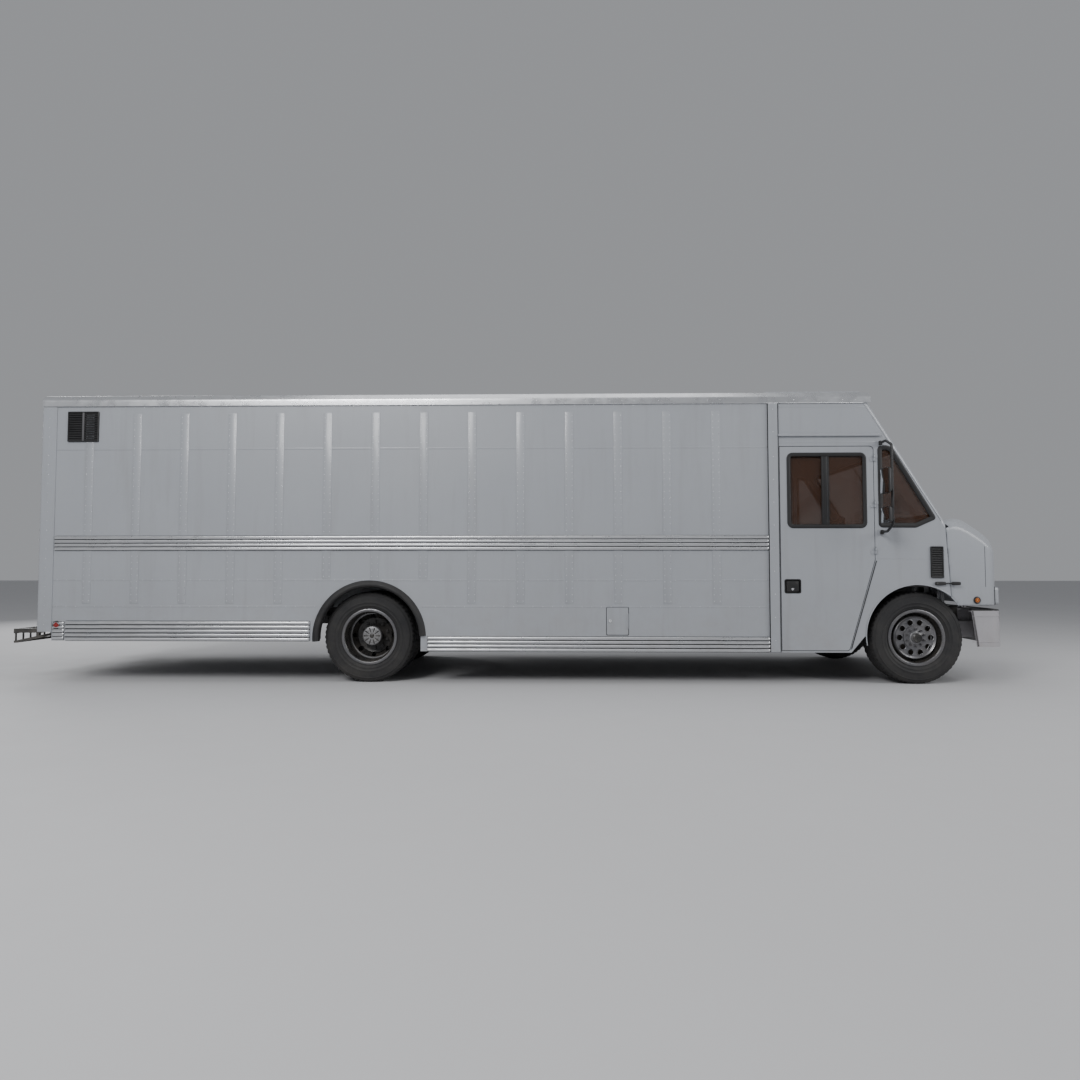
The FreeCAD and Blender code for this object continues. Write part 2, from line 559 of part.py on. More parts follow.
# -------------------------------------------------------------------- lamps
lamps = both([cyl((-3039, HALF_W, 556), (0, 1, 0), 38, 16)])
for z in (600, 690):
    lamps += both([cyl((X_REAR - 11, 1114, z), (1, 0, 0), 42, 11)])
for y in (-150, 0, 150):
    lamps.append(box(X_REAR - 10, X_REAR, y - 40, y + 40, 2680, 2706))
lamps += both([box(X_REAR - 10, X_REAR, 985, 1045, 2680, 2706)])
for y in (-950, -160, 0, 160, 950):
    lens = front_region(-14, 2688, 2716, 4500).common(box(4600, 5400, y - 48, y + 48, 2600, 2800))
    lamps.append(lens.cut(front_region(-0.5, 2600, 2800, 4000)))
save("lamps", lamps)

# ----------------------------------------------------------------- bulkhead
BH_DOOR = (-80.0, 620.0)
bh = prism_x([(-1126, FLOOR_T), (1126, FLOOR_T), (1126, 2690), (-1126, 2690)], 3866, 3892)
bh = bh.cut(box(3800, 3950, BH_DOOR[0], BH_DOOR[1], FLOOR_T - 1, 2560))
track = box(3836, 3866, -840, 640, 2574, 2606)
save("bulkhead", join([bh, track]))

# -------------------------------------------------- engine, gearbox, cooling
engine = join([box(4800, 5500, -190, 190, 760, 1060), prism_x([(-120, 620), (120, 620), (180, 760), (-180, 760)], 4830, 5440),
               box(4830, 5470, -110, 110, 1060, 1150), cyl((4800, 0, 860), (-1, 0, 0), 190, 100),
               cyl((5500, 0, 760), (1, 0, 0), 95, 40), cyl((5500, 0, 960), (1, 0, 0), 70, 55)])
gearbox = join([prism_x([(-150, 470), (150, 470), (190, 560), (190, 690), (120, 740), (-120, 740), (-190, 690), (-190, 560)], 4240, 4600, 30),
                cyl((4600, 0, 700), (1, 0, 0), 60, 100), cyl((4240, 0, 605), (-1, 0, 0), 100, 130), cyl((4110, 0, 603), (-1, 0, 0), 60, 90)])
bell = cyl((4600.5, 0, 820), (1, 0, 0), 215, 99)
bell = bell.cut(cyl((4590, 0, 700), (1, 0, 0), 61, 120))
mounts = both([box(5050, 5150, 140, 425, FRAME_T, 742).cut(engine)])
save("engine_and_gearbox", [engine, gearbox, bell] + mounts)

core = box(5850, 5925, -400, 400, 718, 1240)
for i in range(19):
    z = 730 + i * 26
    core = core.cut(box(5918, 5930, -380, 380, z, z + 10))
shroud = ring((5790, 0, 960), (1, 0, 0), 262, 252, 58)
fan = [cyl((5640, 0, 960), (1, 0, 0), 45, 130)]
for k in range(7):
    b = box(5800, 5812, -30, 30, 1000, 1200)
    b.rotate(V(5806, 0, 1100), V(0, 0, 1), 32)
    b.rotate(V(5806, 0, 960), V(1, 0, 0), k * 360 / 7)
    fan.append(b)
fan.append(cyl((5770, 0, 960), (1, 0, 0), 55, 50))
radiator = [core, shroud, join(fan)]
save("radiator_and_fan", radiator + both([join([box(5860, 5915, 366, 430, FRAME_T, 718), box(5880, 5896, 400, 430, 718, 860)])]))

# ---------------------------------------------------------------- fuel tank
tank = prism_x([(-1050, 345), (-480, 345), (-480, 680), (-1050, 680)], 1600, 2400, 60)
cap = cyl((2370, -1168, 600), (0, 1, 0), 42, 30)
cup = prism_y(rect(FUEL[0] + 2, FUEL[1] - 2, FUEL[2] + 2, FUEL[3] - 2), -1175.2, -1131, 12)
cup = cup.cut(prism_y(rect(FUEL[0] + 8, FUEL[1] - 8, FUEL[2] + 8, FUEL[3] - 8), -1177, -1137, 8))
cup = cup.cut(cyl((2370, -1140, 600), (0, 1, 0), 30.2, 40))
neck = cyl((2370, -1137.9, 600), (0, 1, 0), 30, 88).cut(tank)
straps = []
for x in (1750, 2200):
    s = prism_x([(-1054, 341), (-476, 341), (-476, 684), (-1054, 684)], x, x + 50, 64).cut(tank)
    straps.append(join([s, box(x, x + 50, -476, -432.2, 640, 684)]))
save("fuel_tank", [tank, neck, cap, cup] + straps)

# ------------------------------------------------------------------ exhaust
muffler = Part.makeCylinder(110, 1000, V(1070, 700, 500), V(1, 0, 0))
pipe = tube([(4450, 262, 600), (4450, 262, 462), (4150, 300, 462), (3300, 700, 462), (2900, 700, 500), (2070.5, 700, 500)], 36, 60)
tail = tube([(1069.5, 700, 500), (800, 700, 500), (690, 700, 380)], 36, 60)
save("exhaust", [muffler, pipe, tail])

# ------------------------------------------------------------------- axles
def leaf_pack(xm, y0, y1, z_mid, z_end, half, count, t=12):
    out = []
    for i in range(count):
        h = half * (1 - 0.22 * i)
        rise = (z_end - z_mid) * (h / half) ** 2
        zb = z_mid - i * t
        e = [Part.Arc(V(xm - h, y0, zb + rise), V(xm, y0, zb), V(xm + h, y0, zb + rise)).toShape(),
             Part.makeLine(V(xm + h, y0, zb + rise), V(xm + h, y0, zb + rise - t)),
             Part.Arc(V(xm + h, y0, zb + rise - t), V(xm, y0, zb - t), V(xm - h, y0, zb + rise - t)).toShape(),
             Part.makeLine(V(xm - h, y0, zb + rise - t), V(xm - h, y0, zb + rise))]
        out.append(Part.Face(Part.Wire(e)).extrude(V(0, y1 - y0, 0)))
    return out


def spring(xm, y, z_mid, z_end, half, count):
    pack = leaf_pack(xm, y - 38, y + 38, z_mid, z_end, half, count)
    return join(pack)


XF = WHEELBASE
beam = prism_y([(XF - 32, 330), (XF + 32, 330), (XF + 32, 396), (XF - 32, 396)], -600, 600)
ends = both([prism_x([(590, 330), (640, 330), (812, 408), (812, 472), (700, 472), (590, 396)], XF - 32, XF + 32),
             ring((XF, KING_Y, 400), (0, 0, 1), 45, 21.5, 80)])
beam = join([beam] + ends).cut(join(both([cyl((XF, KING_Y, 380), (0, 0, 1), 21.5, 130)])))
f_springs = both([spring(XF, 400, 446, 504, 660, 4)])
f_eyes = both([join([box(XF - 60, XF + 60, 365, 435, 446.5, 458)])])
save("front_axle_and_springs", [beam] + f_springs + f_eyes)

housing = join([cyl((0, -620, 440), (0, 1, 0), 60, 1240), Part.makeSphere(185, V(0, 0, 440)),
                cyl((150, 0, 446), (1, 0, shaft_tan), 80, 60), cyl((-185, 0, 440), (1, 0, 0), 120, 60),
                cyl((0, -890, 440), (0, 1, 0), 38, 1780)])
r_springs = both([spring(0, 490, 566, 620, 640, 4)])
pads = both([box(-60, 60, 455, 525, 498, 517.5).cut(cyl((0, 400, 440), (0, 1, 0), 60, 300)),
             box(-60, 60, 455, 525, 566.5, 578)])
save("rear_axle_and_springs", [housing] + r_springs + pads)

# --------------------------------------------------------------- driveshaft
ax = V(1, 0, shaft_tan).normalize()
p0 = V(SHAFT_A[0], 0, SHAFT_A[1])
length = (V(SHAFT_B[0], 0, SHAFT_B[1]) - p0).Length
shaft = join([Part.makeCylinder(42, length - 40, p0 + ax * 20, ax), Part.makeCylinder(62, 22, p0 + ax * 2, ax),
              Part.makeCylinder(58, 20, p0 + ax * (length - 24), ax)])
save("driveshaft", shaft)

# ------------------------------------------------------------------- wheels
tyre_sec = [(250, -96), (252, -78), (300, -96), (345, -108), (395, -106), (420, -92), (425, -60), (426, 0), (425, 60), (420, 92),
            (395, 106), (345, 108), (300, 96), (252, 78), (250, 96), (274, 99), (300, 116), (345, 125), (388, 123), (415, 116),
            (432, 104), (438, 90), (440, 60), (440, -60), (438, -90), (432, -104), (415, -116), (388, -123), (345, -125), (300, -116), (274, -99)]


def tyre(y, x, side):
    return lathe_y(tyre_sec, y, x, TYRE_R, side)


def rim_front(side):
    x, y = WHEELBASE, FRONT_Y
    barrel = [(249.5, -100), (269, -100), (269, -106), (246, -106), (240, -90), (226, -60), (226, 40), (238, 70), (240, 100), (246, 106),
              (269, 106), (269, 100), (249.5, 100), (248, 78), (233, 44), (233, -64), (248, -84)]
    disc = [(226, 20), (226, 32), (212, 44), (206, 74), (198, 82), (190, 76), (184, 72), (95, 78), (95, 66), (180, 60), (190, 62), (196, 34), (214, 20)]
    rim = join([lathe_y(barrel, y, x, TYRE_R, side), lathe_y(disc, y, x, TYRE_R, side)])
    for k in range(10):
        a = math.radians(k * 36)
        px, pz = x + 148 * math.cos(a), TYRE_R + 148 * math.sin(a)
        rim = rim.cut(cyl((px, side * (y + 40), pz), (0, side, 0), 27, 90))
    hub = lathe_y([(32, -55), (60, -55), (60, -10), (92, -10), (92, 10), (66, 20), (66, 62), (95, 62), (95, 78), (114, 78), (114, 88), (60, 92),
                   (52, 96), (44, 124), (0.01, 128), (0.01, 40), (32, 40)], y, x, TYRE_R, side)
    rotor = lathe_y([(92, -32), (190, -32), (190, -2), (92, -2)], y, x, TYRE_R, side)
    nuts = []
    for k in range(10):
        a = math.radians(k * 36 + 18)
        px, pz = x + 84 * math.cos(a), TYRE_R + 84 * math.sin(a)
        nuts.append(cyl((px, side * (y + 86), pz), (0, side, 0), 12, 22))
    return join([rim, hub, rotor] + nuts)


def rims_rear(side):
    x = 0.0
    barrel = [(249.5, -100), (269, -100), (269, -106), (246, -106), (240, -90), (226, -60), (226, 40), (238, 70), (240, 100), (246, 106),
              (269, 106), (269, 100), (249.5, 100), (248, 78), (233, 44), (233, -64), (248, -84)]
    outer_disc = [(227, -60), (227, -72), (210, -90), (180, -134), (150, -144), (70, -144), (70, -134), (146, -134), (172, -126), (200, -82), (214, -60)]
    inner_disc = [(r, -o) for r, o in outer_disc]
    it = [lathe_y(barrel, DUAL_OUT, x, TYRE_R, side), lathe_y(barrel, DUAL_IN, x, TYRE_R, side),
          lathe_y(outer_disc, DUAL_OUT, x, TYRE_R, side), lathe_y(inner_disc, DUAL_IN, x, TYRE_R, side)]
    rim = join(it[:1] + it[2:3]), join([it[1], it[3]])
    cut = []
    for k in range(8):
        a = math.radians(k * 45)
        px, pz = x + 190 * math.cos(a), TYRE_R + 190 * math.sin(a)
        cut.append(cyl((px, side * 700, pz), (0, side, 0), 24, 300))
    rim = [r.cut(join(cut)) for r in rim]
    hub = lathe_y([(40, -165), (95, -165), (95, -60), (70, -40), (69, 60), (93, 90), (93, 128), (84, 140), (0.01, 142), (0.01, 70), (40, 70)],
                  845, x, TYRE_R, side)
    drum = lathe_y([(96, -30), (205, -30), (205, -180), (196, -180), (196, -38), (96, -38)], 845, x, TYRE_R, side)
    nuts = []
    for k in range(10):
        a = math.radians(k * 36 + 18)
        px, pz = x + 128 * math.cos(a), TYRE_R + 128 * math.sin(a)
        nuts.append(cyl((px, side * 851, pz), (0, side, 0), 13, 24))
    return rim + [join([hub, drum])] + nuts


def knuckle(side):
    x, y = WHEELBASE, KING_Y
    it = [cyl((x, y, 481), (0, 0, 1), 44, 26), cyl((x, y, 373), (0, 0, 1), 44, 26), cyl((x, y, 373), (0, 0, 1), 20, 134),
          box(x - 42, x + 42, y, y + 78, 484, 507), box(x - 42, x + 42, y, y + 78, 373, 396),
          box(x - 42, x + 42, y + 52, y + 78, 373, 507), cyl((x, y + 70, TYRE_R), (0, 1, 0), 46, 12),
          cyl((x, y + 78, TYRE_R), (0, 1, 0), 30, 95)]
    arm = prism_z([(x - 42, y + 40), (x - 150, y - 10), (x - 176, y - 40), (x - 150, y - 58), (x - 120, y - 30), (x - 30, y + 10)], 373, 391)
    s = join(it + [arm])
    return s if side > 0 else flip(s)


for side, word in ((-1, "right"), (1, "left")):
    save("knuckle_" + word, knuckle(side))
    save("front_wheel_" + word, rim_front(side))
    save("front_tyre_" + word, tyre(FRONT_Y, WHEELBASE, side))
    save("rear_wheels_" + word, rims_rear(side))
    save("rear_tyres_" + word, [tyre(DUAL_OUT, 0, side), tyre(DUAL_IN, 0, side)])

# --------------------------------------------------------------- cab doors
WIN = (4048, 4791, 1498, 2211)


def door():
    s = prism_y(DOOR_LEAF, HALF_W - 34, HALF_W, [0, 28, 0, 36, 10])
    s = s.cut(prism_y(rect(*WIN), HALF_W - 60, HALF_W + 20, 50))
    bar = box(4373, 4442, HALF_W - 15, HALF_W - 4, WIN[2], WIN[3])
    s = join([s, bar])
    s = s.cut(prism_y(rect(4009, 4158, 872, 999), HALF_W - 22, HALF_W + 5, 14))
    s = s.cut(prism_y([(4060, 420), (4560, 420), (4760, 1120), (4760, 1380), (4060, 1380)], HALF_W - 40, HALF_W - 24, 30))
    lugs = []
    for z in CAB_HINGE_Z:
        lugs.append(box(4830, 4862, HALF_W, HALF_W + 4, z, z + 28))
        lugs.append(ring((DOOR_AXIS[0], DOOR_AXIS[1], z), (0, 0, 1), 9, 4.5, 28))
        lugs.append(box(4860, 4874, HALF_W, HALF_W + 4, z, z + 28).cut(cyl((DOOR_AXIS[0], DOOR_AXIS[1], z - 1), (0, 0, 1), 4.6, 40)))
    s = join([s] + lugs)
    fixed = prism_y([(4408, WIN[2]), (4791, WIN[2]), (4791, WIN[3]), (4408, WIN[3])], HALF_W - 22, HALF_W - 17, [0, 50, 50, 0])
    pins = [cyl((DOOR_AXIS[0], DOOR_AXIS[1], z - 3), (0, 0, 1), 4.2, 66) for z in CAB_HINGE_Z]
    return [s, fixed] + pins


def slider():
    s = prism_y([(4054, WIN[2] + 6), (4428, WIN[2] + 6), (4428, WIN[3] - 6), (4054, WIN[3] - 6)], HALF_W - 30, HALF_W - 25, [46, 0, 0, 46])
    pull = box(4404, 4420, HALF_W - 38, HALF_W - 30, 1760, 1860)
    return join([s, pull])


def paddle():
    p = box(4026, 4141, HALF_W - 9, HALF_W - 3, 884, 985)
    hinge = cyl((4026, HALF_W - 9, 982), (1, 0, 0), 5, 115)
    lip = box(4040, 4127, HALF_W - 15, HALF_W - 9, 884, 890)
    return join([p, hinge, lip])


for side, word in ((-1, "right"), (1, "left")):
    f = flip if side < 0 else (lambda s: s)
    save("door_" + word, [f(s) for s in door()])
    save("door_slider_" + word, f(slider()))
    save("door_handle_" + word, f(paddle()))

# --------------------------------------------------------------- rear doors
def rear_leaf():
    s = box(-3282, -3244, 6, 1086, 792, 2612)
    s = s.cut(box(-3262, -3240, 60, 1030, 860, 1640)).cut(box(-3262, -3240, 60, 1030, 1720, 2540))
    s = s.cut(prism_x(rect(250, 850, 1780, 2380), -3300, -3200, 50))
    glass = prism_x(rect(250, 850, 1780, 2380), -3276, -3270, 50)
    lugs = []
    for z in DOOR_HINGE_Z:
        for zz in (z - 41, z + 41):
            lugs.append(join([ring((REAR_AXIS[0], REAR_AXIS[1], zz), (0, 0, 1), 12, 6, 40),
                              box(-3286, -3282, 1020, 1086, zz, zz + 40), box(-3286, -3276, 1080, 1092, zz, zz + 40)]))
    return [s] + lugs, glass


ROD = (-3306.0, -90.0)
for side, word in ((-1, "right"), (1, "left")):
    f = flip if side < 0 else (lambda s: s)
    leaf, glass = rear_leaf()
    if side < 0:
        for z in (860, 1290, 1480, 2540):
            guide = join([cyl((ROD[0], 90, z), (0, 0, 1), 20, 30), box(ROD[0], -3282, 78, 102, z, z + 30)])
            leaf.append(guide.cut(cyl((ROD[0], 90, z - 5), (0, 0, 1), 12.4, 60)))
    save("rear_door_" + word, [f(join(leaf)), f(glass)])
rod = join([cyl((ROD[0], ROD[1], 770), (0, 0, 1), 12, 1866), box(ROD[0] - 6, ROD[0] + 6, ROD[1] - 40, ROD[1] + 6, 770, 792),
            box(ROD[0] - 6, ROD[0] + 6, ROD[1] - 40, ROD[1] + 6, 2614, 2636),
            box(ROD[0] - 16, ROD[0] - 4, ROD[1] - 330, ROD[1], 1385, 1415), ring((ROD[0], ROD[1], 1370), (0, 0, 1), 18, 12, 60)])
save("rear_lock_bar", rod)

# ---------------------------------------------------------------- fuel door
fd = prism_y(rect(FUEL[0] + 3, FUEL[1] - 3, FUEL[2] + 3, FUEL[3] - 3), -HALF_W, -HALF_W + 3.8, 12)
fd = join([fd, cyl((FUEL[1] - 6, -HALF_W - 4, FUEL[2] + 60), (0, 0, 1), 5, 147), box(FUEL[1] - 24, FUEL[1] - 6, -HALF_W - 3, -HALF_W, FUEL[2] + 60, FUEL[3] - 60)])
save("fuel_door", fd)

# --------------------------------------------------------------------- hood
HOOD_TOP = [(5541, 1570), (5630, 1584), (5690, 1592), (5740, 1588), (5800, 1562), (5851, 1530), (5930, 1474), (6003, 1415), (6060, 1352),
            (6090, 1290), (6100, 1200), (6104, 1040), (6104, 748)]


def hood_plan(inset, z0, z1):
    r = 156 - inset
    cxx, cyy = 5930, 964
    h = math.radians(45)
    b = math.radians(6)
    xe, ye = cxx + r * math.cos(b), cyy + r * math.sin(b)
    ys, yf = 1172 - inset, 1120 - inset
    e = [Part.makeLine(V(5400, -ys - 18, z0), V(cxx, -yf, z0)),
         Part.Arc(V(cxx, -yf, z0), V(cxx + r * math.cos(h), -cyy - r * math.sin(h), z0), V(xe, -ye, z0)).toShape(),
         Part.Arc(V(xe, -ye, z0), V(6162 - inset, 0, z0), V(xe, ye, z0)).toShape(),
         Part.Arc(V(xe, ye, z0), V(cxx + r * math.cos(h), cyy + r * math.sin(h), z0), V(cxx, yf, z0)).toShape(),
         Part.makeLine(V(cxx, yf, z0), V(5400, ys + 18, z0)),
         Part.makeLine(V(5400, ys + 18, z0), V(5400, -ys - 18, z0))]
    return Part.Face(Part.Wire(e)).extrude(V(0, 0, z1 - z0))


def hood_side(inset, dz=0.0, dx=0.0):
    top = [(x + dx - inset * (0.8 if x > 5800 else 0), z + dz - inset) for x, z in HOOD_TOP[:-1]]
    top[0] = (5400, top[0][1])
    return prism_y([(5400, 700)] + top + [(top[-1][0], 700)], -1250, 1250)


def hood_section(inset):
    """Shoulders rounded across the width."""
    yo = 1190 - inset
    z1 = 1640 - inset
    return prism_x([(-yo, 700), (yo, 700), (yo, z1 - 150), (yo - 55, z1 - 75), (yo - 170, z1 - 35), (0, z1), (-yo + 170, z1 - 35),
                    (-yo + 55, z1 - 75), (-yo, z1 - 150)], 5400, 6300, [0, 0, 0, 80, 150, 0, 150, 80, 0])


def shoulders(shape, drop):
    """The crown falls away outboard and rearward in two facets a side."""
    top = [(x + 58, z + 10 - drop) for x, z in HOOD_TOP]
    loop = [(5300, 1950), (5300, top[0][1])] + top + [(6600, top[-1][1]), (6600, 1950)]
    for s in (1, -1):
        for y0, dx, dz, run in ((915, 0, 0, (-206, 312, -81)), (1066, -98, -41, (-74, 164, -95))):
            pts = [V(x + dx, s * y0, z + dz) for x, z in loop]
            cutter = Part.Face(Part.makePolygon(pts + pts[:1])).extrude(V(run[0], s * run[1], run[2]))
            shape = shape.cut(cutter)
    return shape


outer = shoulders(hood_plan(0, 748, 1700).common(hood_side(0, 10, 58)), 0).common(hood_section(0))
inner = shoulders(hood_plan(18, 700, 1700).common(hood_side(18, 10, 58)), 20.7).common(hood_section(18))
hood = outer.cut(inner)
hood = hood.cut(prism_y([(5300, 1700), (5300, 600), (5596, 600), (5588, 749), (5541, 1529), (5541, 1700)], -1300, 1300))
hood = hood.cut(front_region(-10, 1400, 1800, 5000).common(box(5000, 6200, -1300, 1300, 1500, 1800)))
for s in (1, -1):
    y0, y1 = sorted((s * 1000, s * 1300))
    hood = hood.cut(cyl((ARCH_X, y0, ARCH_Z), (0, 1, 0), ARCH_R, y1 - y0))
GR = (-470, 470, 900, 1290)
hood = hood.cut(prism_x([(GR[0], GR[2]), (GR[1], GR[2]), (GR[1], GR[3]), (GR[0], GR[3])], 6000, 6400, 60))
LAMP = (770, 1046, 756, 926)
for s in (1, -1):
    a, b = sorted((s * LAMP[0], s * LAMP[1]))
    hood = hood.cut(prism_x([(a, LAMP[2]), (b, LAMP[2]), (b, LAMP[3]), (a, LAMP[3])], 5900, 6300, 30))
for s in (1, -1):
    piv = on_glass(s * 880, 1592, 0)
    hood = hood.cut(Part.makeCylinder(24, 140, piv - N * 40, N))
HOOD_AXIS = (6130.0, 735.0)
for s in (1, -1):
    a, b = sorted((s * 370, s * 395))
    lug = join([cyl((HOOD_AXIS[0], a, HOOD_AXIS[1]), (0, 1, 0), 12, 25), box(6118, 6142, a, b, 735, 749),
                box(6118, 6200, a, b, 749, 775).common(hood_plan(4, 700, 1700))])
    hood = hood.fuse(lug).cut(cyl((HOOD_AXIS[0], a - 5, HOOD_AXIS[1]), (0, 1, 0), 7, 40))
save("hood", hood.removeSplitter())

wall = hood_plan(2, 748, 1700).cut(hood_plan(16, 700, 1750))
bars = [box(6040, 6300, -460, 460, z, z + 22) for z in (930, 990, 1050, 1110, 1170, 1230)]
bars += [box(6040, 6300, y - 9, y + 9, 902, 1288) for y in (-300, -100, 100, 300)]
frame_ring = prism_x(rect(GR[0], GR[1], GR[2], GR[3]), 6040, 6300, 60).cut(prism_x(rect(GR[0] + 26, GR[1] - 26, GR[2] + 26, GR[3] - 26), 6030, 6310, 40))
grille = join([b.common(wall) for b in bars] + [frame_ring.common(hood_plan(-8, 748, 1700).cut(hood_plan(20, 700, 1750)))])
save("grille", grille)

hl = []
for s in (1, -1):
    a, b = sorted((s * (LAMP[0] + 1), s * (LAMP[1] - 1)))
    blk = prism_x([(a, LAMP[2] + 1), (b, LAMP[2] + 1), (b, LAMP[3] - 1), (a, LAMP[3] - 1)], 5900, 6300, 28)
    hl.append(blk.common(hood_plan(-34, 748, 1700).cut(hood_plan(24, 700, 1750))))
    hl.append(cyl((5842, s * 1126.5, 803), (0, s, 0), 36, 22).cut(outer))
save("headlamps", hl)

# ------------------------------------------------------------- hood latches
def latch():
    s = join([box(5418, 5522, 1186, 1202, 946, 980), cyl((5428, 1194, 940), (0, 0, 1), 11, 46), box(5520, 5575, 1188, 1200, 957, 969),
              box(5572, 5660, 1184, 1204, 946, 980)])
    return s


for side, word in ((-1, "right"), (1, "left")):
    f = flip if side < 0 else (lambda s: s)
    save("hood_latch_" + word, f(latch()))

# ------------------------------------------------------------------- wipers
def wiper(side):
    piv = on_glass(side * 880, 1592, 0)
    spindle = Part.makeCylinder(11, 75.5, piv - N * 41.5, N)
    tip = on_glass(side * 300, 1640, 22)
    root = piv + N * 22
    d = (tip - root)
    L = d.Length
    d = d.normalize()
    w = N.cross(d).normalize()

    def bar(p, ln, wd, th):
        a = p - w * (wd / 2)
        f = Part.Face(Part.makePolygon([a, a + d * ln, a + d * ln + w * wd, a + w * wd, a]))
        return f.extrude(N * th)
    arm = bar(root - d * 14, L * 0.72, 16, 10)
    blade = bar(root + d * 120, 560, 9, 26)
    blade.translate(N * -18 + w * 0)
    return join([spindle, arm, blade])


for side, word in ((-1, "right"), (1, "left")):
    save("wiper_" + word, wiper(side))

# ------------------------------------------------------------ driver's area
wc = V(*WHEEL_C)
rim = Part.makeTorus(215, 15, wc, n)
hub = Part.makeCylinder(40, 40, wc - n * 38, n)
spokes = []
for k in range(4):
    a = math.radians(45 + 90 * k)
    u = V(0, 1, 0)
    v = n.cross(u)
    d = u * math.cos(a) + v * math.sin(a)
    spokes.append(Part.makeCylinder(9, 190, wc + d * 20 - n * 8, d))
save("steering_wheel", join([rim, hub] + spokes))


def pedal(y, w, h):
    hubp = ring((PEDAL[0], y - 10, PEDAL[1]), (0, 1, 0), 18, 9, 20)
    arm = prism_y([(PEDAL[0] - 14, PEDAL[1] - 12), (PEDAL[0] + 4, PEDAL[1] - 14), (4990, 1040), (4980, 1000), (4966, 1004), (4972, 1046)], y - 6, y + 6)
    arm = arm.cut(cyl((PEDAL[0], y - 20, PEDAL[1]), (0, 1, 0), 9, 40))
    pad = prism_y([(4954, 1010 - h / 2), (4966, 1010 - h / 2), (4982, 1010 + h / 2), (4970, 1010 + h / 2)], y - w / 2, y + w / 2)
    return join([hubp, arm, pad])


save("brake_pedal", pedal(480, 60, 56))
save("accelerator_pedal", pedal(400, 48, 60))

cushion = prism_y([(4390, 1114), (4860, 1114), (4872, 1180), (4850, 1232), (4500, 1222), (4390, 1206)], 325, 815, [20, 30, 30, 30, 60, 20])
back = prism_y([(4412, 1214), (4470, 1236), (4396, 1680), (4330, 2010), (4270, 2040), (4232, 2010), (4300, 1600)], 345, 795, [20, 20, 0, 40, 20, 30, 0])
base = join([box(4400, 4760, 440, 700, 1083, 1099), box(4400, 4420, 440, 700, 1099, 1113), box(4730, 4750, 440, 700, 1099, 1113)])
save("driver_seat", [cushion, back.cut(cushion), base])

# ------------------------------------------------------------------ mirrors
def mirror(side):
    ya = side * 1450
    armx = 4918
    t = tube([(MIRROR_X, side * MIRROR_Y, 2306), (4918, side * 1330, 2306), (armx, ya, 2250), (armx, ya, 1510), (4920, side * 1330, 1452),
              (MIRROR_X, side * MIRROR_Y, 1452)], 12, 40)
    it = [t, cyl((MIRROR_X, side * MIRROR_Y, 2284), (0, 0, 1), 17, 40), cyl((MIRROR_X, side * MIRROR_Y, 1430), (0, 0, 1), 17, 40)]
    arms = join(it)

    def head(z0, z1, w):
        cy = ya - side * 10
        zc = (z0 + z1) / 2
        f0 = Part.makePolygon([V(4846, cy - w, z0), V(4846, cy + w, z0), V(4846, cy + w, z1), V(4846, cy - w, z1), V(4846, cy - w, z0)])
        f1 = Part.makePolygon([V(4866, cy - w, z0), V(4866, cy + w, z0), V(4866, cy + w, z1), V(4866, cy - w, z1), V(4866, cy - w, z0)])
        f2 = Part.makePolygon([V(4914, cy - 30, zc - 46), V(4914, cy + 30, zc - 46), V(4914, cy + 30, zc + 46), V(4914, cy - 30, zc + 46),
                               V(4914, cy - 30, zc - 46)])
        a = Part.makeLoft([f0, f1], True, True)
        b = Part.makeLoft([f1, f2], True, True)
        return join([a, b])
    return join([arms, head(1795, 2031, 96), head(1522, 1673, 92)])


save("mirror_right", mirror(-1))
save("mirror_left", mirror(1))

# ------------------------------------------------------- bulkhead slide door
bd = box(3842, 3862, BH_DOOR[0] - 10, BH_DOOR[1] + 10, FLOOR_T + 8, 2570)
bd = bd.cut(prism_x(rect(60, 480, 1500, 2100), 3800, 3900, 40))
bglass = prism_x(rect(60, 480, 1500, 2100), 3849, 3855, 40)
pull = join([cyl((3838, 560, 1300), (0, 0, 1), 8, 220), box(3830, 3842, 552, 568, 1300, 1316), box(3830, 3842, 552, 568, 1504, 1520)])
save("bulkhead_door", [join([bd, pull]), bglass])

if __name__ == "__main__":
    print(len(made), "nodes")
    for name, cnt, ok, vol in made:
        if not ok or cnt < 1 or vol <= 0:
            print("CHECK", name, cnt, ok, vol)
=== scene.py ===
import json
import math
import random

import bmesh
import bpy
from mathutils import Matrix, Vector


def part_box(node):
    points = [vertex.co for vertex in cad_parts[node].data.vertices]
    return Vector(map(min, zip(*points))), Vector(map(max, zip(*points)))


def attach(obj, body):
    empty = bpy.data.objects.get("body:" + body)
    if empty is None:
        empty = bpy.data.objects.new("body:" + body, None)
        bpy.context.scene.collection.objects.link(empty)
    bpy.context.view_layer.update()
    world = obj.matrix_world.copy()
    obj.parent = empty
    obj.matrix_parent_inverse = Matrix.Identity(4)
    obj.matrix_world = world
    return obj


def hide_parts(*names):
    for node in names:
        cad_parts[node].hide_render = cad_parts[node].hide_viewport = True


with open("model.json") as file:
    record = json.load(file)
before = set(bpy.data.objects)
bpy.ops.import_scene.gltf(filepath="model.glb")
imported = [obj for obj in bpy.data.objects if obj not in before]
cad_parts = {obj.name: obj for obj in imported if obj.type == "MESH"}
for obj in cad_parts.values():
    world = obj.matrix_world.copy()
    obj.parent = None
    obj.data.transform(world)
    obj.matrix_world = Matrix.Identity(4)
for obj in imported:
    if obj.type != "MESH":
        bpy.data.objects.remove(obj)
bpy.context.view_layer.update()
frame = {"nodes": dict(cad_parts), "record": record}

NODES = frame["nodes"]
BODY = {n: b for b, ns in frame["record"]["behaviour"]["bodies"].items() for n in ns}
random.seed(11)

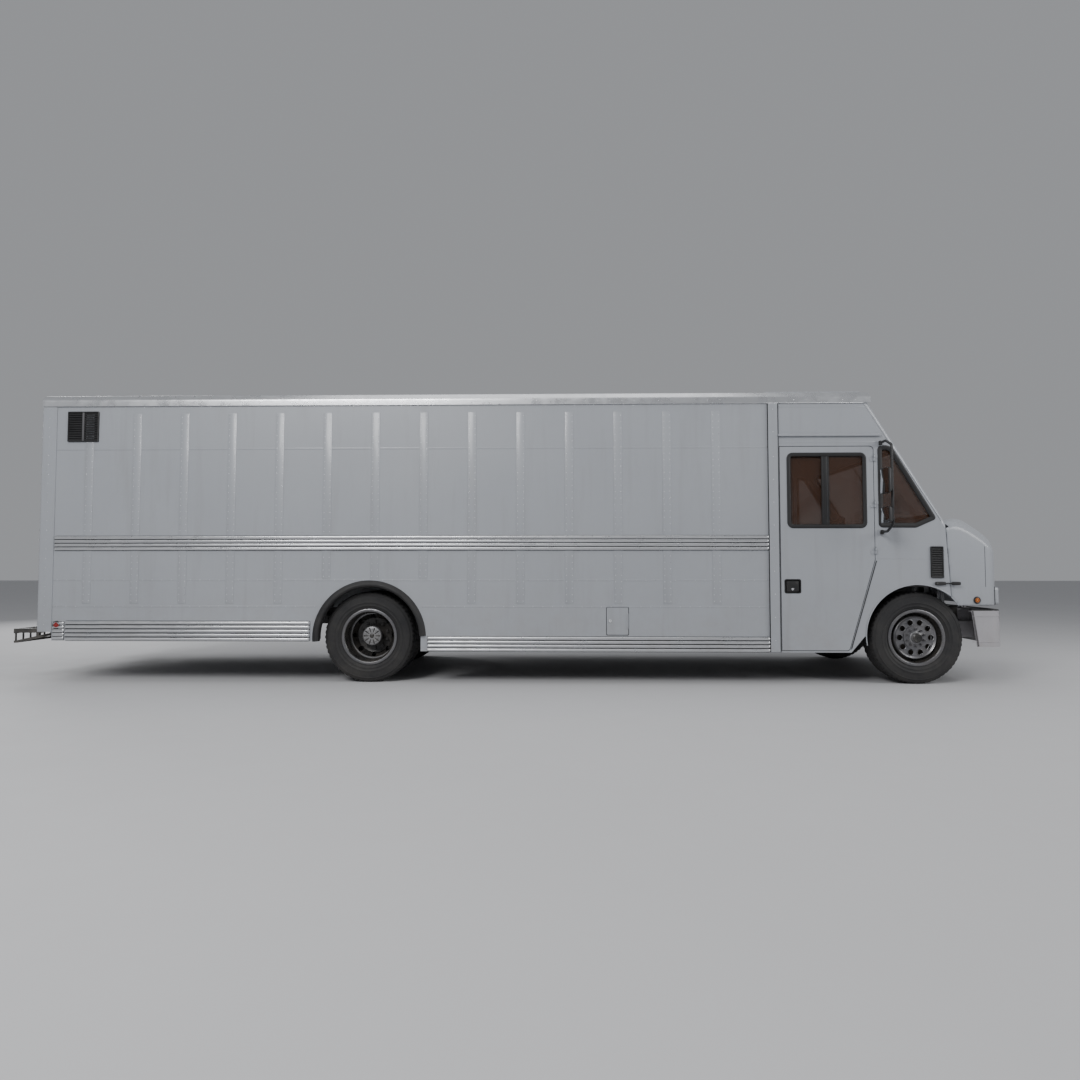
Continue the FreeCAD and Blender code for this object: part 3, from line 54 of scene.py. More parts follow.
# Geometry below is written in millimetres with X = 0 on the rear axle line;
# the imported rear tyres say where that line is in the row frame.
_lo, _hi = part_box("rear_tyres_right")
AX = (_lo.x + _hi.x) / 2
HW = 1180.0
SLOPE = 0.6166


def M(p):
    return (p[0] / 1000.0 + AX, p[1] / 1000.0, p[2] / 1000.0)


# ============================================================== materials
class NT:
    def __init__(self, name):
        self.m = bpy.data.materials.new(name)
        self.m.use_nodes = True
        self.t = self.m.node_tree
        self.t.nodes.clear()
        self.out = self.t.nodes.new("ShaderNodeOutputMaterial")
        self.bs = self.t.nodes.new("ShaderNodeBsdfPrincipled")
        self.t.links.new(self.bs.outputs[0], self.out.inputs[0])
        tc = self.t.nodes.new("ShaderNodeTexCoord")
        self.obj = tc.outputs["Object"]

    def n(self, kind, **kw):
        node = self.t.nodes.new(kind)
        for k, v in kw.items():
            setattr(node, k, v)
        return node

    def set(self, sock, v):
        if hasattr(v, "is_output"):
            self.t.links.new(v, sock)
        elif isinstance(v, (tuple, list)):
            sock.default_value = (*v, 1.0) if len(sock.default_value) == 4 and len(v) == 3 else v
        else:
            sock.default_value = v

    def scaled(self, s, vec=None):
        mp = self.n("ShaderNodeMapping")
        self.set(mp.inputs["Vector"], vec or self.obj)
        mp.inputs["Scale"].default_value = s
        return mp.outputs[0]

    def noise(self, scale, detail=3.0, rough=0.5, vec=None, dist=0.0):
        x = self.n("ShaderNodeTexNoise")
        self.set(x.inputs["Vector"], vec or self.obj)
        x.inputs["Scale"].default_value = scale
        x.inputs["Detail"].default_value = detail
        x.inputs["Roughness"].default_value = rough
        x.inputs["Distortion"].default_value = dist
        return x.outputs["Fac"]

    def voro(self, scale, feature="F1", out="Distance", vec=None):
        x = self.n("ShaderNodeTexVoronoi", feature=feature)
        self.set(x.inputs["Vector"], vec or self.obj)
        x.inputs["Scale"].default_value = scale
        return x.outputs[out]

    def math(self, op, a, b=0.0, clamp=False):
        x = self.n("ShaderNodeMath", operation=op, use_clamp=clamp)
        self.set(x.inputs[0], a)
        self.set(x.inputs[1], b)
        return x.outputs[0]

    def rng(self, v, a, b, c, d):
        x = self.n("ShaderNodeMapRange")
        self.set(x.inputs[0], v)
        for i, w in enumerate((a, b, c, d)):
            x.inputs[i + 1].default_value = w
        return x.outputs[0]

    def mix(self, f, a, b):
        x = self.n("ShaderNodeMix", data_type="RGBA")
        self.set(x.inputs[0], f)
        self.set(x.inputs[6], a)
        self.set(x.inputs[7], b)
        return x.outputs[2]

    def sep(self, vec=None):
        x = self.n("ShaderNodeSeparateXYZ")
        self.set(x.inputs[0], vec or self.obj)
        return x.outputs

    def bump(self, h, strength, dist=0.001, normal=None):
        x = self.n("ShaderNodeBump")
        x.inputs["Strength"].default_value = strength
        x.inputs["Distance"].default_value = dist
        self.set(x.inputs["Height"], h)
        if normal is not None:
            self.set(x.inputs["Normal"], normal)
        return x.outputs[0]

    def edges(self, radius=0.003, gain=6.0):
        bv = self.n("ShaderNodeBevel", samples=4)
        bv.inputs["Radius"].default_value = radius
        geo = self.n("ShaderNodeNewGeometry")
        dt = self.n("ShaderNodeVectorMath", operation="DOT_PRODUCT")
        self.set(dt.inputs[0], bv.outputs[0])
        self.set(dt.inputs[1], geo.outputs["Normal"])
        return self.math("MULTIPLY", self.math("SUBTRACT", 1.0, dt.outputs["Value"]), gain, clamp=True)


DUST = (0.23, 0.205, 0.175)


def surface(name, base, alt=None, rough=0.4, rvar=0.1, metal=0.0, coat=0.0, scale=2.0, grain=(300, 0.05), wave=None,
            dust=0.25, dz=(0.3, 1.3), streak=0.0, wear=0.0, wear_col=(0.35, 0.35, 0.36), wear_metal=0.9, spec=0.5,
            speck=0.0, brushed=None, extra=None):
    """Procedural surface: two-tone variation, grime that gathers low down, run-off
    streaks, bright worn edges, and a fine grain in roughness and bump."""
    t = NT(name)
    alt = alt or tuple(c * 0.86 for c in base)
    n1 = t.noise(scale, 4, 0.55)
    n2 = t.noise(scale * 7, 3, 0.6)
    mixf = t.rng(t.math("ADD", t.math("MULTIPLY", n1, 0.7), t.math("MULTIPLY", n2, 0.3)), 0.32, 0.68, 0.0, 1.0)
    col = t.mix(mixf, base, alt)
    rgh = t.rng(n2, 0.3, 0.7, rough - rvar * 0.5, rough + rvar * 0.5)
    met = metal
    if extra:
        col = extra(t, col)
    if speck:
        sp = t.rng(t.noise(220, 2, 0.6), 0.62, 0.7, 0.0, speck)
        col = t.mix(sp, col, tuple(min(1, c * 1.7 + 0.03) for c in base))
    if streak:
        sv = t.noise(9.0, 4, 0.65, vec=t.scaled((1.0, 1.0, 0.09)))
        sf = t.rng(sv, 0.52, 0.8, 0.0, streak)
        col = t.mix(sf, col, tuple(c * 0.55 for c in DUST))
        rgh = t.math("ADD", rgh, t.math("MULTIPLY", sf, 0.5), clamp=True)
    if wear:
        ed = t.edges()
        wn = t.rng(t.noise(24, 5, 0.7), 0.42, 0.62, 0.0, 1.0)
        wf = t.math("MULTIPLY", t.math("MULTIPLY", ed, wn), wear, clamp=True)
        col = t.mix(wf, col, wear_col)
        met = t.math("MULTIPLY", wf, wear_metal) if metal < 0.5 else metal
    if dust:
        z = t.sep()[2]
        low = t.rng(z, dz[0], dz[1], 1.0, 0.12)
        dn = t.rng(t.noise(5.5, 6, 0.72), 0.38, 0.75, 0.0, 1.0)
        df = t.math("MULTIPLY", t.math("MULTIPLY", low, dn), dust, clamp=True)
        col = t.mix(df, col, DUST)
        rgh = t.math("ADD", rgh, t.math("MULTIPLY", df, 0.45), clamp=True)
    t.set(t.bs.inputs["Base Color"], col)
    t.set(t.bs.inputs["Roughness"], rgh)
    t.set(t.bs.inputs["Metallic"], met)
    t.bs.inputs["Specular IOR Level"].default_value = spec
    if coat:
        t.bs.inputs["Coat Weight"].default_value = coat
        t.bs.inputs["Coat Roughness"].default_value = 0.12
    nrm = None
    if wave:
        nrm = t.bump(t.noise(wave[0], 1, 0.4), wave[1], 0.01)
    if brushed:
        nrm = t.bump(t.noise(60, 2, 0.5, vec=t.scaled(brushed)), 0.12, 0.0006, nrm)
    nrm = t.bump(t.noise(grain[0], 3, 0.6), grain[1], 0.001, nrm)
    t.set(t.bs.inputs["Normal"], nrm)
    return t.m


def glass_mat(name, tint, alpha, rough=0.03):
    t = NT(name)
    n = t.noise(3.0, 5, 0.7)
    smear = t.rng(n, 0.5, 0.85, 0.0, 0.07)
    z = t.sep()[2]
    t.set(t.bs.inputs["Base Color"], t.mix(smear, tint, DUST))
    t.set(t.bs.inputs["Roughness"], t.rng(t.noise(8, 4, 0.6), 0.4, 0.8, rough, rough + 0.1))
    t.set(t.bs.inputs["Alpha"], t.math("ADD", alpha, smear, clamp=True))
    t.bs.inputs["IOR"].default_value = 1.5
    t.bs.inputs["Coat Weight"].default_value = 0.6
    t.bs.inputs["Coat Roughness"].default_value = 0.02
    t.set(t.bs.inputs["Normal"], t.bump(t.noise(1.5, 1), 0.04, 0.01))
    m = t.m
    m.surface_render_method = "BLENDED"
    return m


def lens_mat(name, col, alpha=1.0, emit=0.0):
    """Moulded lamp lens with a fine prism grid."""
    t = NT(name)
    s = t.sep(t.scaled((260, 260, 260)))
    g = t.math("MULTIPLY", t.math("SINE", s[0], 0), t.math("SINE", s[2], 0))
    g = t.math("ADD", g, t.math("SINE", s[1], 0))
    dark = tuple(c * 0.45 for c in col)
    t.set(t.bs.inputs["Base Color"], t.mix(t.rng(g, -1.2, 1.2, 0, 1), dark, col))
    t.set(t.bs.inputs["Roughness"], t.rng(t.noise(30, 3), 0.3, 0.7, 0.06, 0.2))
    t.bs.inputs["Alpha"].default_value = alpha
    t.bs.inputs["Coat Weight"].default_value = 0.7
    t.bs.inputs["Subsurface Weight"].default_value = 0.0
    t.set(t.bs.inputs["Normal"], t.bump(g, 0.5, 0.0008))
    if alpha < 1:
        t.m.surface_render_method = "BLENDED"
    return t.m


def diamond_extra(t, col):
    v = t.voro(46, feature="DISTANCE_TO_EDGE", vec=t.scaled((1, 1, 1)))
    return t.mix(t.rng(v, 0.02, 0.09, 0.35, 0.0), col, (0.03, 0.03, 0.032))


def weave_extra(t, col):
    s = t.sep(t.scaled((900, 900, 900)))
    g = t.math("MULTIPLY", t.math("SINE", s[0], 0), t.math("SINE", s[2], 0))
    return t.mix(t.rng(g, -1, 1, 0, 0.35), col, (0.012, 0.012, 0.014))


def zinc_extra(t, col):
    c = t.voro(9, out="Color")
    sp = t.sep(c)
    return t.mix(t.rng(sp[0], 0, 1, 0, 0.35), col, (0.62, 0.63, 0.65))


MAT = {
    "body_paint": surface("body_paint_weathered", (0.345, 0.36, 0.385), (0.31, 0.325, 0.352), rough=0.34, rvar=0.12, coat=0.25, scale=0.55,
                          grain=(420, 0.035), wave=(1.6, 0.10), dust=0.32, dz=(0.30, 1.05), streak=0.16),
    "roof_white": surface("roof_white_chalked", (0.46, 0.47, 0.48), (0.40, 0.41, 0.42), rough=0.6, grain=(260, 0.08), dust=0.25, dz=(2.0, 3.6), wave=(1.2, 0.1)),
    "aluminium": surface("aluminium_extruded", (0.66, 0.67, 0.69), (0.56, 0.57, 0.59), rough=0.30, rvar=0.16, metal=0.85, grain=(500, 0.05),
                         dust=0.28, dz=(0.3, 1.6), brushed=(1.0, 30.0, 30.0), scale=1.4),
    "galvanised_steel": surface("galvanised_spangle", (0.40, 0.41, 0.42), (0.31, 0.32, 0.33), rough=0.5, metal=0.7, grain=(200, 0.08), dust=0.2, extra=zinc_extra),
    "interior_grey": surface("interior_grey_tread", (0.10, 0.10, 0.105), (0.07, 0.07, 0.074), rough=0.65, grain=(150, 0.2), dust=0.35, dz=(0.7, 1.2), extra=diamond_extra),
    "chassis_black": surface("chassis_black_wax", (0.020, 0.020, 0.021), (0.034, 0.033, 0.032), rough=0.5, rvar=0.25, grain=(180, 0.15), dust=0.5, dz=(0.2, 1.0),
                             wear=0.6, wear_col=(0.16, 0.15, 0.14), wear_metal=0.4),
    "dark_steel": surface("dark_steel_oiled", (0.10, 0.10, 0.105), (0.075, 0.07, 0.066), rough=0.45, rvar=0.2, metal=0.75, grain=(160, 0.12), dust=0.45, dz=(0.2, 1.1), wear=0.5,
                          wear_col=(0.3, 0.29, 0.28)),
    "cast_iron": surface("cast_iron_rough", (0.085, 0.083, 0.08), (0.11, 0.085, 0.065), rough=0.75, metal=0.5, grain=(110, 0.35), dust=0.4, dz=(0.2, 1.1)),
    "bumper_steel": surface("bumper_silver", (0.38, 0.368, 0.385), (0.33, 0.322, 0.338), rough=0.33, rvar=0.15, metal=0.35, coat=0.2, grain=(400, 0.04), dust=0.35, dz=(0.3, 0.8), scale=1.5,
                            wear=0.5, wear_col=(0.62, 0.61, 0.62)),
    "wheel_steel": surface("wheel_machined", (0.20, 0.20, 0.21), (0.13, 0.13, 0.14), rough=0.33, rvar=0.2, metal=0.85, grain=(300, 0.08), dust=0.45, dz=(0.1, 1.2), scale=6, wear=0.7,
                           wear_col=(0.6, 0.6, 0.61)),
    "wheel_black": surface("wheel_gloss_black", (0.012, 0.012, 0.013), (0.02, 0.019, 0.018), rough=0.28, rvar=0.2, grain=(300, 0.06), dust=0.32, dz=(0.1, 1.2), scale=5, wear=0.25),
    "tyre": surface("tyre_rubber", (0.016, 0.016, 0.018), (0.026, 0.026, 0.026), rough=0.7, rvar=0.16, grain=(240, 0.25), dust=0.13, dz=(0.0, 1.4), scale=6, spec=0.35),
    "black_rubber": surface("black_rubber_matt", (0.012, 0.012, 0.013), (0.02, 0.02, 0.021), rough=0.55, rvar=0.2, grain=(320, 0.2), dust=0.10, dz=(0.3, 1.5), spec=0.4),
    "black_plastic": surface("black_plastic_grained", (0.010, 0.010, 0.011), (0.017, 0.017, 0.018), rough=0.42, rvar=0.15, grain=(600, 0.3), dust=0.08, dz=(0.3, 2.0)),
    "seat_vinyl": surface("seat_vinyl_grained", (0.030, 0.030, 0.033), (0.044, 0.043, 0.045), rough=0.55, rvar=0.16, grain=(700, 0.4), dust=0.1, extra=weave_extra),
    "tinted_glass": glass_mat("glass_bronze", (0.060, 0.026, 0.013), 0.50),
    "clear_lens": lens_mat("lens_clear", (0.62, 0.64, 0.67), 0.55),
    "red_lens": lens_mat("lens_red", (0.36, 0.012, 0.010)),
    "amber_lens": lens_mat("lens_amber", (0.62, 0.17, 0.015)),
}
MAT["mirror_glass"] = surface("mirror_silvered", (0.75, 0.76, 0.78), (0.7, 0.72, 0.74), rough=0.05, rvar=0.03, metal=1.0, grain=(300, 0.01), dust=0.08)
MAT["chrome"] = surface("reflector_chrome", (0.78, 0.78, 0.8), (0.7, 0.7, 0.72), rough=0.12, rvar=0.08, metal=1.0, grain=(300, 0.02), dust=0.1)
MAT["dial_face"] = surface("dial_face_dark", (0.015, 0.015, 0.017), (0.02, 0.02, 0.022), rough=0.5, grain=(600, 0.1), dust=0.0)
MAT["dial_tick"] = surface("dial_tick_white", (0.75, 0.74, 0.7), (0.68, 0.67, 0.63), rough=0.5, grain=(600, 0.05), dust=0.0)
MAT["trim_grey"] = surface("trim_panel_grey", (0.085, 0.085, 0.09), (0.07, 0.07, 0.074), rough=0.6, grain=(520, 0.35), dust=0.15)
MAT["marker_green"] = surface("hub_grey", (0.30, 0.30, 0.31), (0.22, 0.22, 0.225), rough=0.42, metal=0.6, grain=(260, 0.1), dust=0.35, scale=8, wear=0.6, wear_col=(0.55, 0.55, 0.56))


# ================================================================= meshes
class G:
    def __init__(self):
        self.v, self.f, self.m = [], [], []

    def add(self, vf, mi=0):
        v, f = vf
        o = len(self.v)
        self.v.extend([tuple(p) for p in v])
        self.f.extend([[i + o for i in q] for q in f])
        self.m.extend(mi if isinstance(mi, list) else [mi] * len(f))
        return self

    def join(self, g):
        o = len(self.v)
        self.v.extend(g.v)
        self.f.extend([[i + o for i in q] for q in g.f])
        self.m.extend(g.m)
        return self

    def flip(self):
        g = G()
        g.v = [(x, -y, z) for x, y, z in self.v]
        g.f = [list(reversed(q)) for q in self.f]
        g.m = list(self.m)
        return g

    def side(self, s):
        return self if s > 0 else self.flip()

    def both(self):
        g = self.flip()
        return G().join(self).join(g)


def loft(rings, close_u=True, close_v=False, caps=(True, True)):
    n, R = len(rings[0]), len(rings)
    v = [p for r in rings for p in r]
    f = []
    for j in range(R if close_v else R - 1):
        k = (j + 1) % R
        for i in range(n if close_u else n - 1):
            i2 = (i + 1) % n
            f.append([j * n + i, j * n + i2, k * n + i2, k * n + i])
    if not close_v:
        if caps[0]:
            f.append(list(range(n - 1, -1, -1)))
        if caps[1]:
            f.append([(R - 1) * n + i for i in range(n)])
    return v, f


def rnd(pts, rad, seg=6):
    out, n = [], len(pts)
    for i, (x, y) in enumerate(pts):
        r = rad[i] if isinstance(rad, (list, tuple)) else rad
        if r <= 0:
            out.append((x, y))
            continue
        a = Vector((pts[i - 1][0] - x, pts[i - 1][1] - y)).normalized()
        b = Vector((pts[(i + 1) % n][0] - x, pts[(i + 1) % n][1] - y)).normalized()
        half = math.acos(max(-1, min(1, a.dot(b)))) / 2
        if half > math.pi / 2 - 1e-3:
            out.append((x, y))
            continue
        t = r / math.tan(half)
        P = Vector((x, y))
        c = P + (a + b).normalized() * (r / math.sin(half))
        s0, s1 = P + a * t - c, P + b * t - c
        a0, a1 = math.atan2(s0.y, s0.x), math.atan2(s1.y, s1.x)
        d = (a1 - a0 + math.pi) % (2 * math.pi) - math.pi
        for k in range(seg + 1):
            w = a0 + d * k / seg
            out.append((c.x + r * math.cos(w), c.y + r * math.sin(w)))
    return out


def offs(o, d, closed=True):
    """Outline moved outward by d (inward when negative)."""
    n = len(o)
    area = sum(o[i - 1][0] * o[i][1] - o[i][0] * o[i - 1][1] for i in range(n))
    sg = 1 if area > 0 else -1
    out = []
    for i in range(n):
        a, p, b = Vector(o[i - 1]), Vector(o[i]), Vector(o[(i + 1) % n])
        e0, e1 = (p - a), (b - p)
        if e0.length < 1e-6:
            e0 = e1
        if e1.length < 1e-6:
            e1 = e0
        n0 = Vector((e0.y, -e0.x)).normalized() * sg
        n1 = Vector((e1.y, -e1.x)).normalized() * sg
        m = n0 + n1
        m = m / max(m.length_squared / 2, 0.35) if m.length > 1e-6 else n0
        out.append((p.x + m.x * d, p.y + m.y * d))
    return out


def ypos(y0):
    return lambda u, v, d: (u, y0 + d, v)


def xpos(x0):
    return lambda u, v, d: (x0 + d, u, v)


def zpos(z0):
    return lambda u, v, d: (u, v, z0 + d)


def sweep_outline(o, put, sec):
    """Sweep a closed section of (outward, depth) pairs round an outline."""
    cols = [offs(o, s[0]) for s in sec]
    rings = [[put(cols[k][i][0], cols[k][i][1], sec[k][1]) for k in range(len(sec))] for i in range(len(o))]
    return loft(rings, close_v=True)


def plate(o, put, d0, d1, b=1.5):
    s = 1 if d1 > d0 else -1
    k = b * 0.3
    rings = []
    for ins, d in ((b, d0), (k, d0 + s * k), (0, d0 + s * b), (0, d1 - s * b), (k, d1 - s * k), (b, d1)):
        rings.append([put(u, v, d) for u, v in offs(o, -ins)])
    return loft(rings)


def rbox(x0, x1, y0, y1, z0, z1, b=2.0, r=0.0, seg=4):
    o = rnd([(x0, z0), (x1, z0), (x1, z1), (x0, z1)], r, seg) if r else [(x0, z0), (x1, z0), (x1, z1), (x0, z1)]
    return plate(o, ypos(0), y0, y1, min(b, abs(y1 - y0) * 0.45))


def basis(d):
    d = Vector(d).normalized()
    u = d.orthogonal().normalized()
    return d, u, d.cross(u)


def lathe(prof, p, d, n=48, closed=False, caps=(False, False), a0=0.0, a1=None):
    """Revolve (radius, offset) points about the axis through p along d."""
    d, u, w = basis(d)
    p = Vector(p)
    full = a1 is None
    m = n if full else n + 1
    rings = []
    for r, o in prof:
        ring = []
        for k in range(m):
            a = a0 + (2 * math.pi if full else (a1 - a0)) * k / n
            ring.append(tuple(p + d * o + (u * math.cos(a) + w * math.sin(a)) * r))
        rings.append(ring)
    return loft(rings, close_u=full, close_v=closed, caps=caps)


def lathe_y(prof, x, z, y0, s=1, n=64, closed=False, caps=(False, False)):
    """Revolve (radius, outboard offset) about the Y line through x, z."""
    rings = [[(x + r * math.cos(2 * math.pi * k / n), s * (y0 + o), z + r * math.sin(2 * math.pi * k / n)) for k in range(n)] for r, o in prof]
    return loft(rings, close_v=closed, caps=caps)


def dome(p, d, r=4.5, h=2.2, n=8):
    return lathe([(r, -0.4), (r, 0.0), (r * 0.8, h * 0.62), (r * 0.38, h * 0.95), (0.01, h)], p, d, n)


def bolt(p, d, r=9, h=7, washer=True):
    d, u, w = basis(d)
    p = Vector(p)
    g = G()
    if washer:
        g.add(lathe([(r * 1.5, -0.5), (r * 1.5, 1.6), (r * 0.9, 2.0)], p, d, 16))
    rings = []
    for rr, o in ((r, 1.0), (r, h - 1.2), (r * 0.82, h), (0.01, h)):
        rings.append([tuple(p + d * o + (u * math.cos(k * math.pi / 3) + w * math.sin(k * math.pi / 3)) * rr) for k in range(6)])
    g.add(loft(rings, caps=(False, False)))
    return g


def path(pts, bend, seg=6):
    pts = [Vector(p) for p in pts]
    out = [pts[0]]
    for i in range(1, len(pts) - 1):
        p = pts[i]
        a, b = (pts[i - 1] - p), (pts[i + 1] - p)
        la, lb = a.length, b.length
        a, b = a.normalized(), b.normalized()
        half = math.acos(max(-1, min(1, a.dot(b)))) / 2
        if bend <= 0 or half > math.pi / 2 - 0.02:
            out.append(p)
            continue
        t = min(bend / math.tan(half), la * 0.48, lb * 0.48)
        q0, q1 = p + a * t, p + b * t
        for k in range(seg + 1):
            s = k / seg
            out.append(q0 * (1 - s) ** 2 + p * 2 * s * (1 - s) + q1 * s * s)
    out.append(pts[-1])
    return out


def tube(pts, r, bend=0.0, n=12, seg=6, caps=True, sx=1.0, up=None):
    pts = path(pts, bend, seg)
    rr = r if callable(r) else (lambda t: r)
    t0 = (pts[1] - pts[0]).normalized()
    u = (Vector(up) - t0 * Vector(up).dot(t0)).normalized() if up else t0.orthogonal().normalized()
    rings = []
    L = [0.0]
    for i in range(1, len(pts)):
        L.append(L[-1] + (pts[i] - pts[i - 1]).length)
    for i, p in enumerate(pts):
        a = (pts[i] - pts[i - 1]).normalized() if i else t0
        b = (pts[i + 1] - pts[i]).normalized() if i < len(pts) - 1 else a
        t = (a + b).normalized()
        u = (u - t * u.dot(t)).normalized()
        w = t.cross(u)
        R = rr(L[i] / L[-1])
        rings.append([tuple(p + u * R * sx * math.cos(2 * math.pi * k / n) + w * R * math.sin(2 * math.pi * k / n)) for k in range(n)])
    if caps:
        c0, c1 = pts[0], pts[-1]
        d0, d1 = (pts[1] - pts[0]).normalized(), (pts[-1] - pts[-2]).normalized()
        e0 = [tuple(c0 + (Vector(q) - c0) * 0.72 - d0 * rr(0) * 0.25) for q in rings[0]]
        e1 = [tuple(c1 + (Vector(q) - c1) * 0.72 + d1 * rr(1) * 0.25) for q in rings[-1]]
        rings = [e0] + rings + [e1]
    return loft(rings)


def blob(c, size, e=2.6, nu=20, nv=12, twist=None):
    """Rounded-box lump (superellipsoid)."""
    def sp(v, k):
        return math.copysign(abs(v) ** (2 / k), v)
    rings = []
    for j in range(nv + 1):
        ph = -math.pi / 2 + math.pi * j / nv
        ring = []
        for i in range(nu):
            th = 2 * math.pi * i / nu
            ring.append((c[0] + size[0] * sp(math.sin(ph), e), c[1] + size[1] * sp(math.cos(ph), e) * sp(math.cos(th), e), c[2] + size[2] * sp(math.cos(ph), e) * sp(math.sin(th), e)))
        rings.append(ring)
    return loft(rings, caps=(False, False))


def mesh_from(g, name):
    me = bpy.data.meshes.new(name)
    me.from_pydata([M(p) for p in g.v], [], g.f)
    me.polygons.foreach_set("material_index", g.m)
    bm = bmesh.new()
    bm.from_mesh(me)
    bmesh.ops.remove_doubles(bm, verts=bm.verts, dist=1.5e-5)
    bmesh.ops.dissolve_degenerate(bm, edges=bm.edges, dist=1e-6)
    bmesh.ops.recalc_face_normals(bm, faces=bm.faces)
    bm.to_mesh(me)
    bm.free()
    return me


def finish_obj(o, body, mats, smooth, bevel, replaces):
    for m in mats:
        o.data.materials.append(MAT[m])
    o.data.shade_smooth()
    o.data.set_sharp_from_angle(angle=math.radians(smooth))
    if bevel:
        b = o.modifiers.new("bevel", "BEVEL")
        b.width = bevel / 1000
        b.segments = 2
        b.limit_method = "ANGLE"
        b.angle_limit = math.radians(38)
        b.use_clamp_overlap = True
        b.harden_normals = False
    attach(o, body)
    if replaces:
        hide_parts(*replaces)
    return o


def piece(name, g, body, slot, mats=None, smooth=35, bevel=0, replaces=()):
    o = bpy.data.objects.new(name, mesh_from(g, name))
    bpy.context.scene.collection.objects.link(o)
    return finish_obj(o, body, mats or [slot], smooth, bevel, replaces)


def islands(node):
    """The node's mesh as separate closed lumps, vertices welded, largest first."""
    bm = bmesh.new()
    bm.from_mesh(NODES[node].data)
    bmesh.ops.remove_doubles(bm, verts=bm.verts, dist=2e-6)
    seen, out = set(), []
    bm.verts.ensure_lookup_table()
    for v in bm.verts:
        if v.index in seen:
            continue
        stack, grp = [v], []
        seen.add(v.index)
        while stack:
            w = stack.pop()
            grp.append(w)
            for e in w.link_edges:
                x = e.other_vert(w)
                if x.index not in seen:
                    seen.add(x.index)
                    stack.append(x)
        out.append(grp)
    res = []
    for grp in out:
        ids = {v.index: i for i, v in enumerate(grp)}
        faces = {f for v in grp for f in v.link_faces}
        vs = [v.co.copy() for v in grp]
        fs = [[ids[v.index] for v in f.verts] for f in sorted(faces, key=lambda f: f.index)]
        lo = Vector([min(p[k] for p in vs) for k in range(3)])
        hi = Vector([max(p[k] for p in vs) for k in range(3)])
        res.append({"v": vs, "f": fs, "lo": lo, "hi": hi})
    bm.free()
    res.sort(key=lambda r: -((r["hi"] - r["lo"]).length))
    return res


def lump_mesh(lumps, name, dissolve=True):
    v, f = [], []
    for L in lumps:
        o = len(v)
        v.extend(L["v"])
        f.extend([[i + o for i in q] for q in L["f"]])
    me = bpy.data.meshes.new(name)
    me.from_pydata(v, [], f)
    bm = bmesh.new()
    bm.from_mesh(me)
    if dissolve:
        bmesh.ops.dissolve_limit(bm, angle_limit=math.radians(0.7), verts=bm.verts, edges=bm.edges, delimit={"NORMAL"})
    bmesh.ops.recalc_face_normals(bm, faces=bm.faces)
    bm.to_mesh(me)
    bm.free()
    return me


def carry(node, slot=None, name=None, pick=None, bevel=1.5, smooth=30, mats=None, replaces=True):
    """Refined copy of a CAD node (or of some of its lumps): welded, flat areas
    merged, edges broken, shaded by angle."""
    lumps = islands(node)
    if pick:
        lumps = [L for L in lumps if pick(L)]
    slot = slot or SLOT[node]
    name = name or node + "_body"
    o = bpy.data.objects.new(name, lump_mesh(lumps, name))
    bpy.context.scene.collection.objects.link(o)
    return finish_obj(o, BODY[node], mats or [slot], smooth, bevel, [node] if replaces else [])


SLOT = {s["node"]: s["material_slot"] for s in frame["record"]["subparts"]}
SIDES = ((-1, "right"), (1, "left"))


def front_x(y, z):
    """X of the leaning cab front at height z, with its slight bow."""
    b = math.radians(3.2)
    xe, ye = 4771 + (2720 - z) * SLOPE + 60 * math.cos(b), 1120 + 60 * math.sin(b)
    sag = ye * math.tan(b / 2)
    R = (ye * ye + sag * sag) / (2 * sag)
    return xe + sag - (R - math.sqrt(R * R - min(abs(y), ye) ** 2))


NF = Vector((1, 0, SLOPE)).normalized()


def on_front(u, v, d):
    p = Vector((front_x(u, v), u, v)) + NF * d
    return tuple(p)


# ======================================================= carried-over frame
carry("chassis_frame", bevel=2.5, name="ladder_frame")
carry("cargo_floor", bevel=1.5, name="load_floor")
carry("wall_posts_and_roof_bows", bevel=2.5, name="wall_posts_roof_bows")
carry("bulkhead", bevel=1.5, name="bulkhead_panel")
carry("engine_and_gearbox", bevel=7, name="engine_gearbox")
carry("radiator_and_fan", bevel=1.0, name="radiator_fan")
carry("fuel_tank", bevel=3, name="tank_and_straps")
carry("exhaust", bevel=2, name="exhaust_line")
carry("front_axle_and_springs", bevel=3, name="front_axle_springs")
carry("rear_axle_and_springs", bevel=3, name="rear_axle_springs")
carry("driveshaft", bevel=3, name="driveshaft_tube")
carry("roof_panel", bevel=0, name="roof_sheet")
carry("roof_rails", bevel=1.2, name="roof_rail_extrusions")
carry("rear_portal", bevel=2.0, name="rear_door_frame")
if "rear_hinges" in NODES:
    carry("rear_hinges", bevel=0.8, name="rear_hinge_knuckles")
carry("side_panels", bevel=0, name="side_sheets")
carry("rear_step_bumper", bevel=1.6, name="step_bumper_frame")
carry("cab_floor", bevel=2.5, name="cab_floor_lining")
carry("cab_shell", bevel=2.2, name="cab_shell_panels")
carry("grille", bevel=2.5, name="grille_bars")
for s, w in SIDES:
    carry("knuckle_" + w, bevel=3, name="steering_knuckle_" + w)
    carry("wiper_" + w, bevel=1.2, name="wiper_arm_" + w)
carry("fuel_door", bevel=1.0, name="fuel_flap")
carry("rear_lock_bar", bevel=1.5, name="lock_bar")
carry("brake_pedal", bevel=1.2, name="brake_pedal_arm")
carry("accelerator_pedal", bevel=1.2, name="accelerator_pedal_arm")

# ============================================================= body sides
POST0, PITCH = -2758.0, 471.0


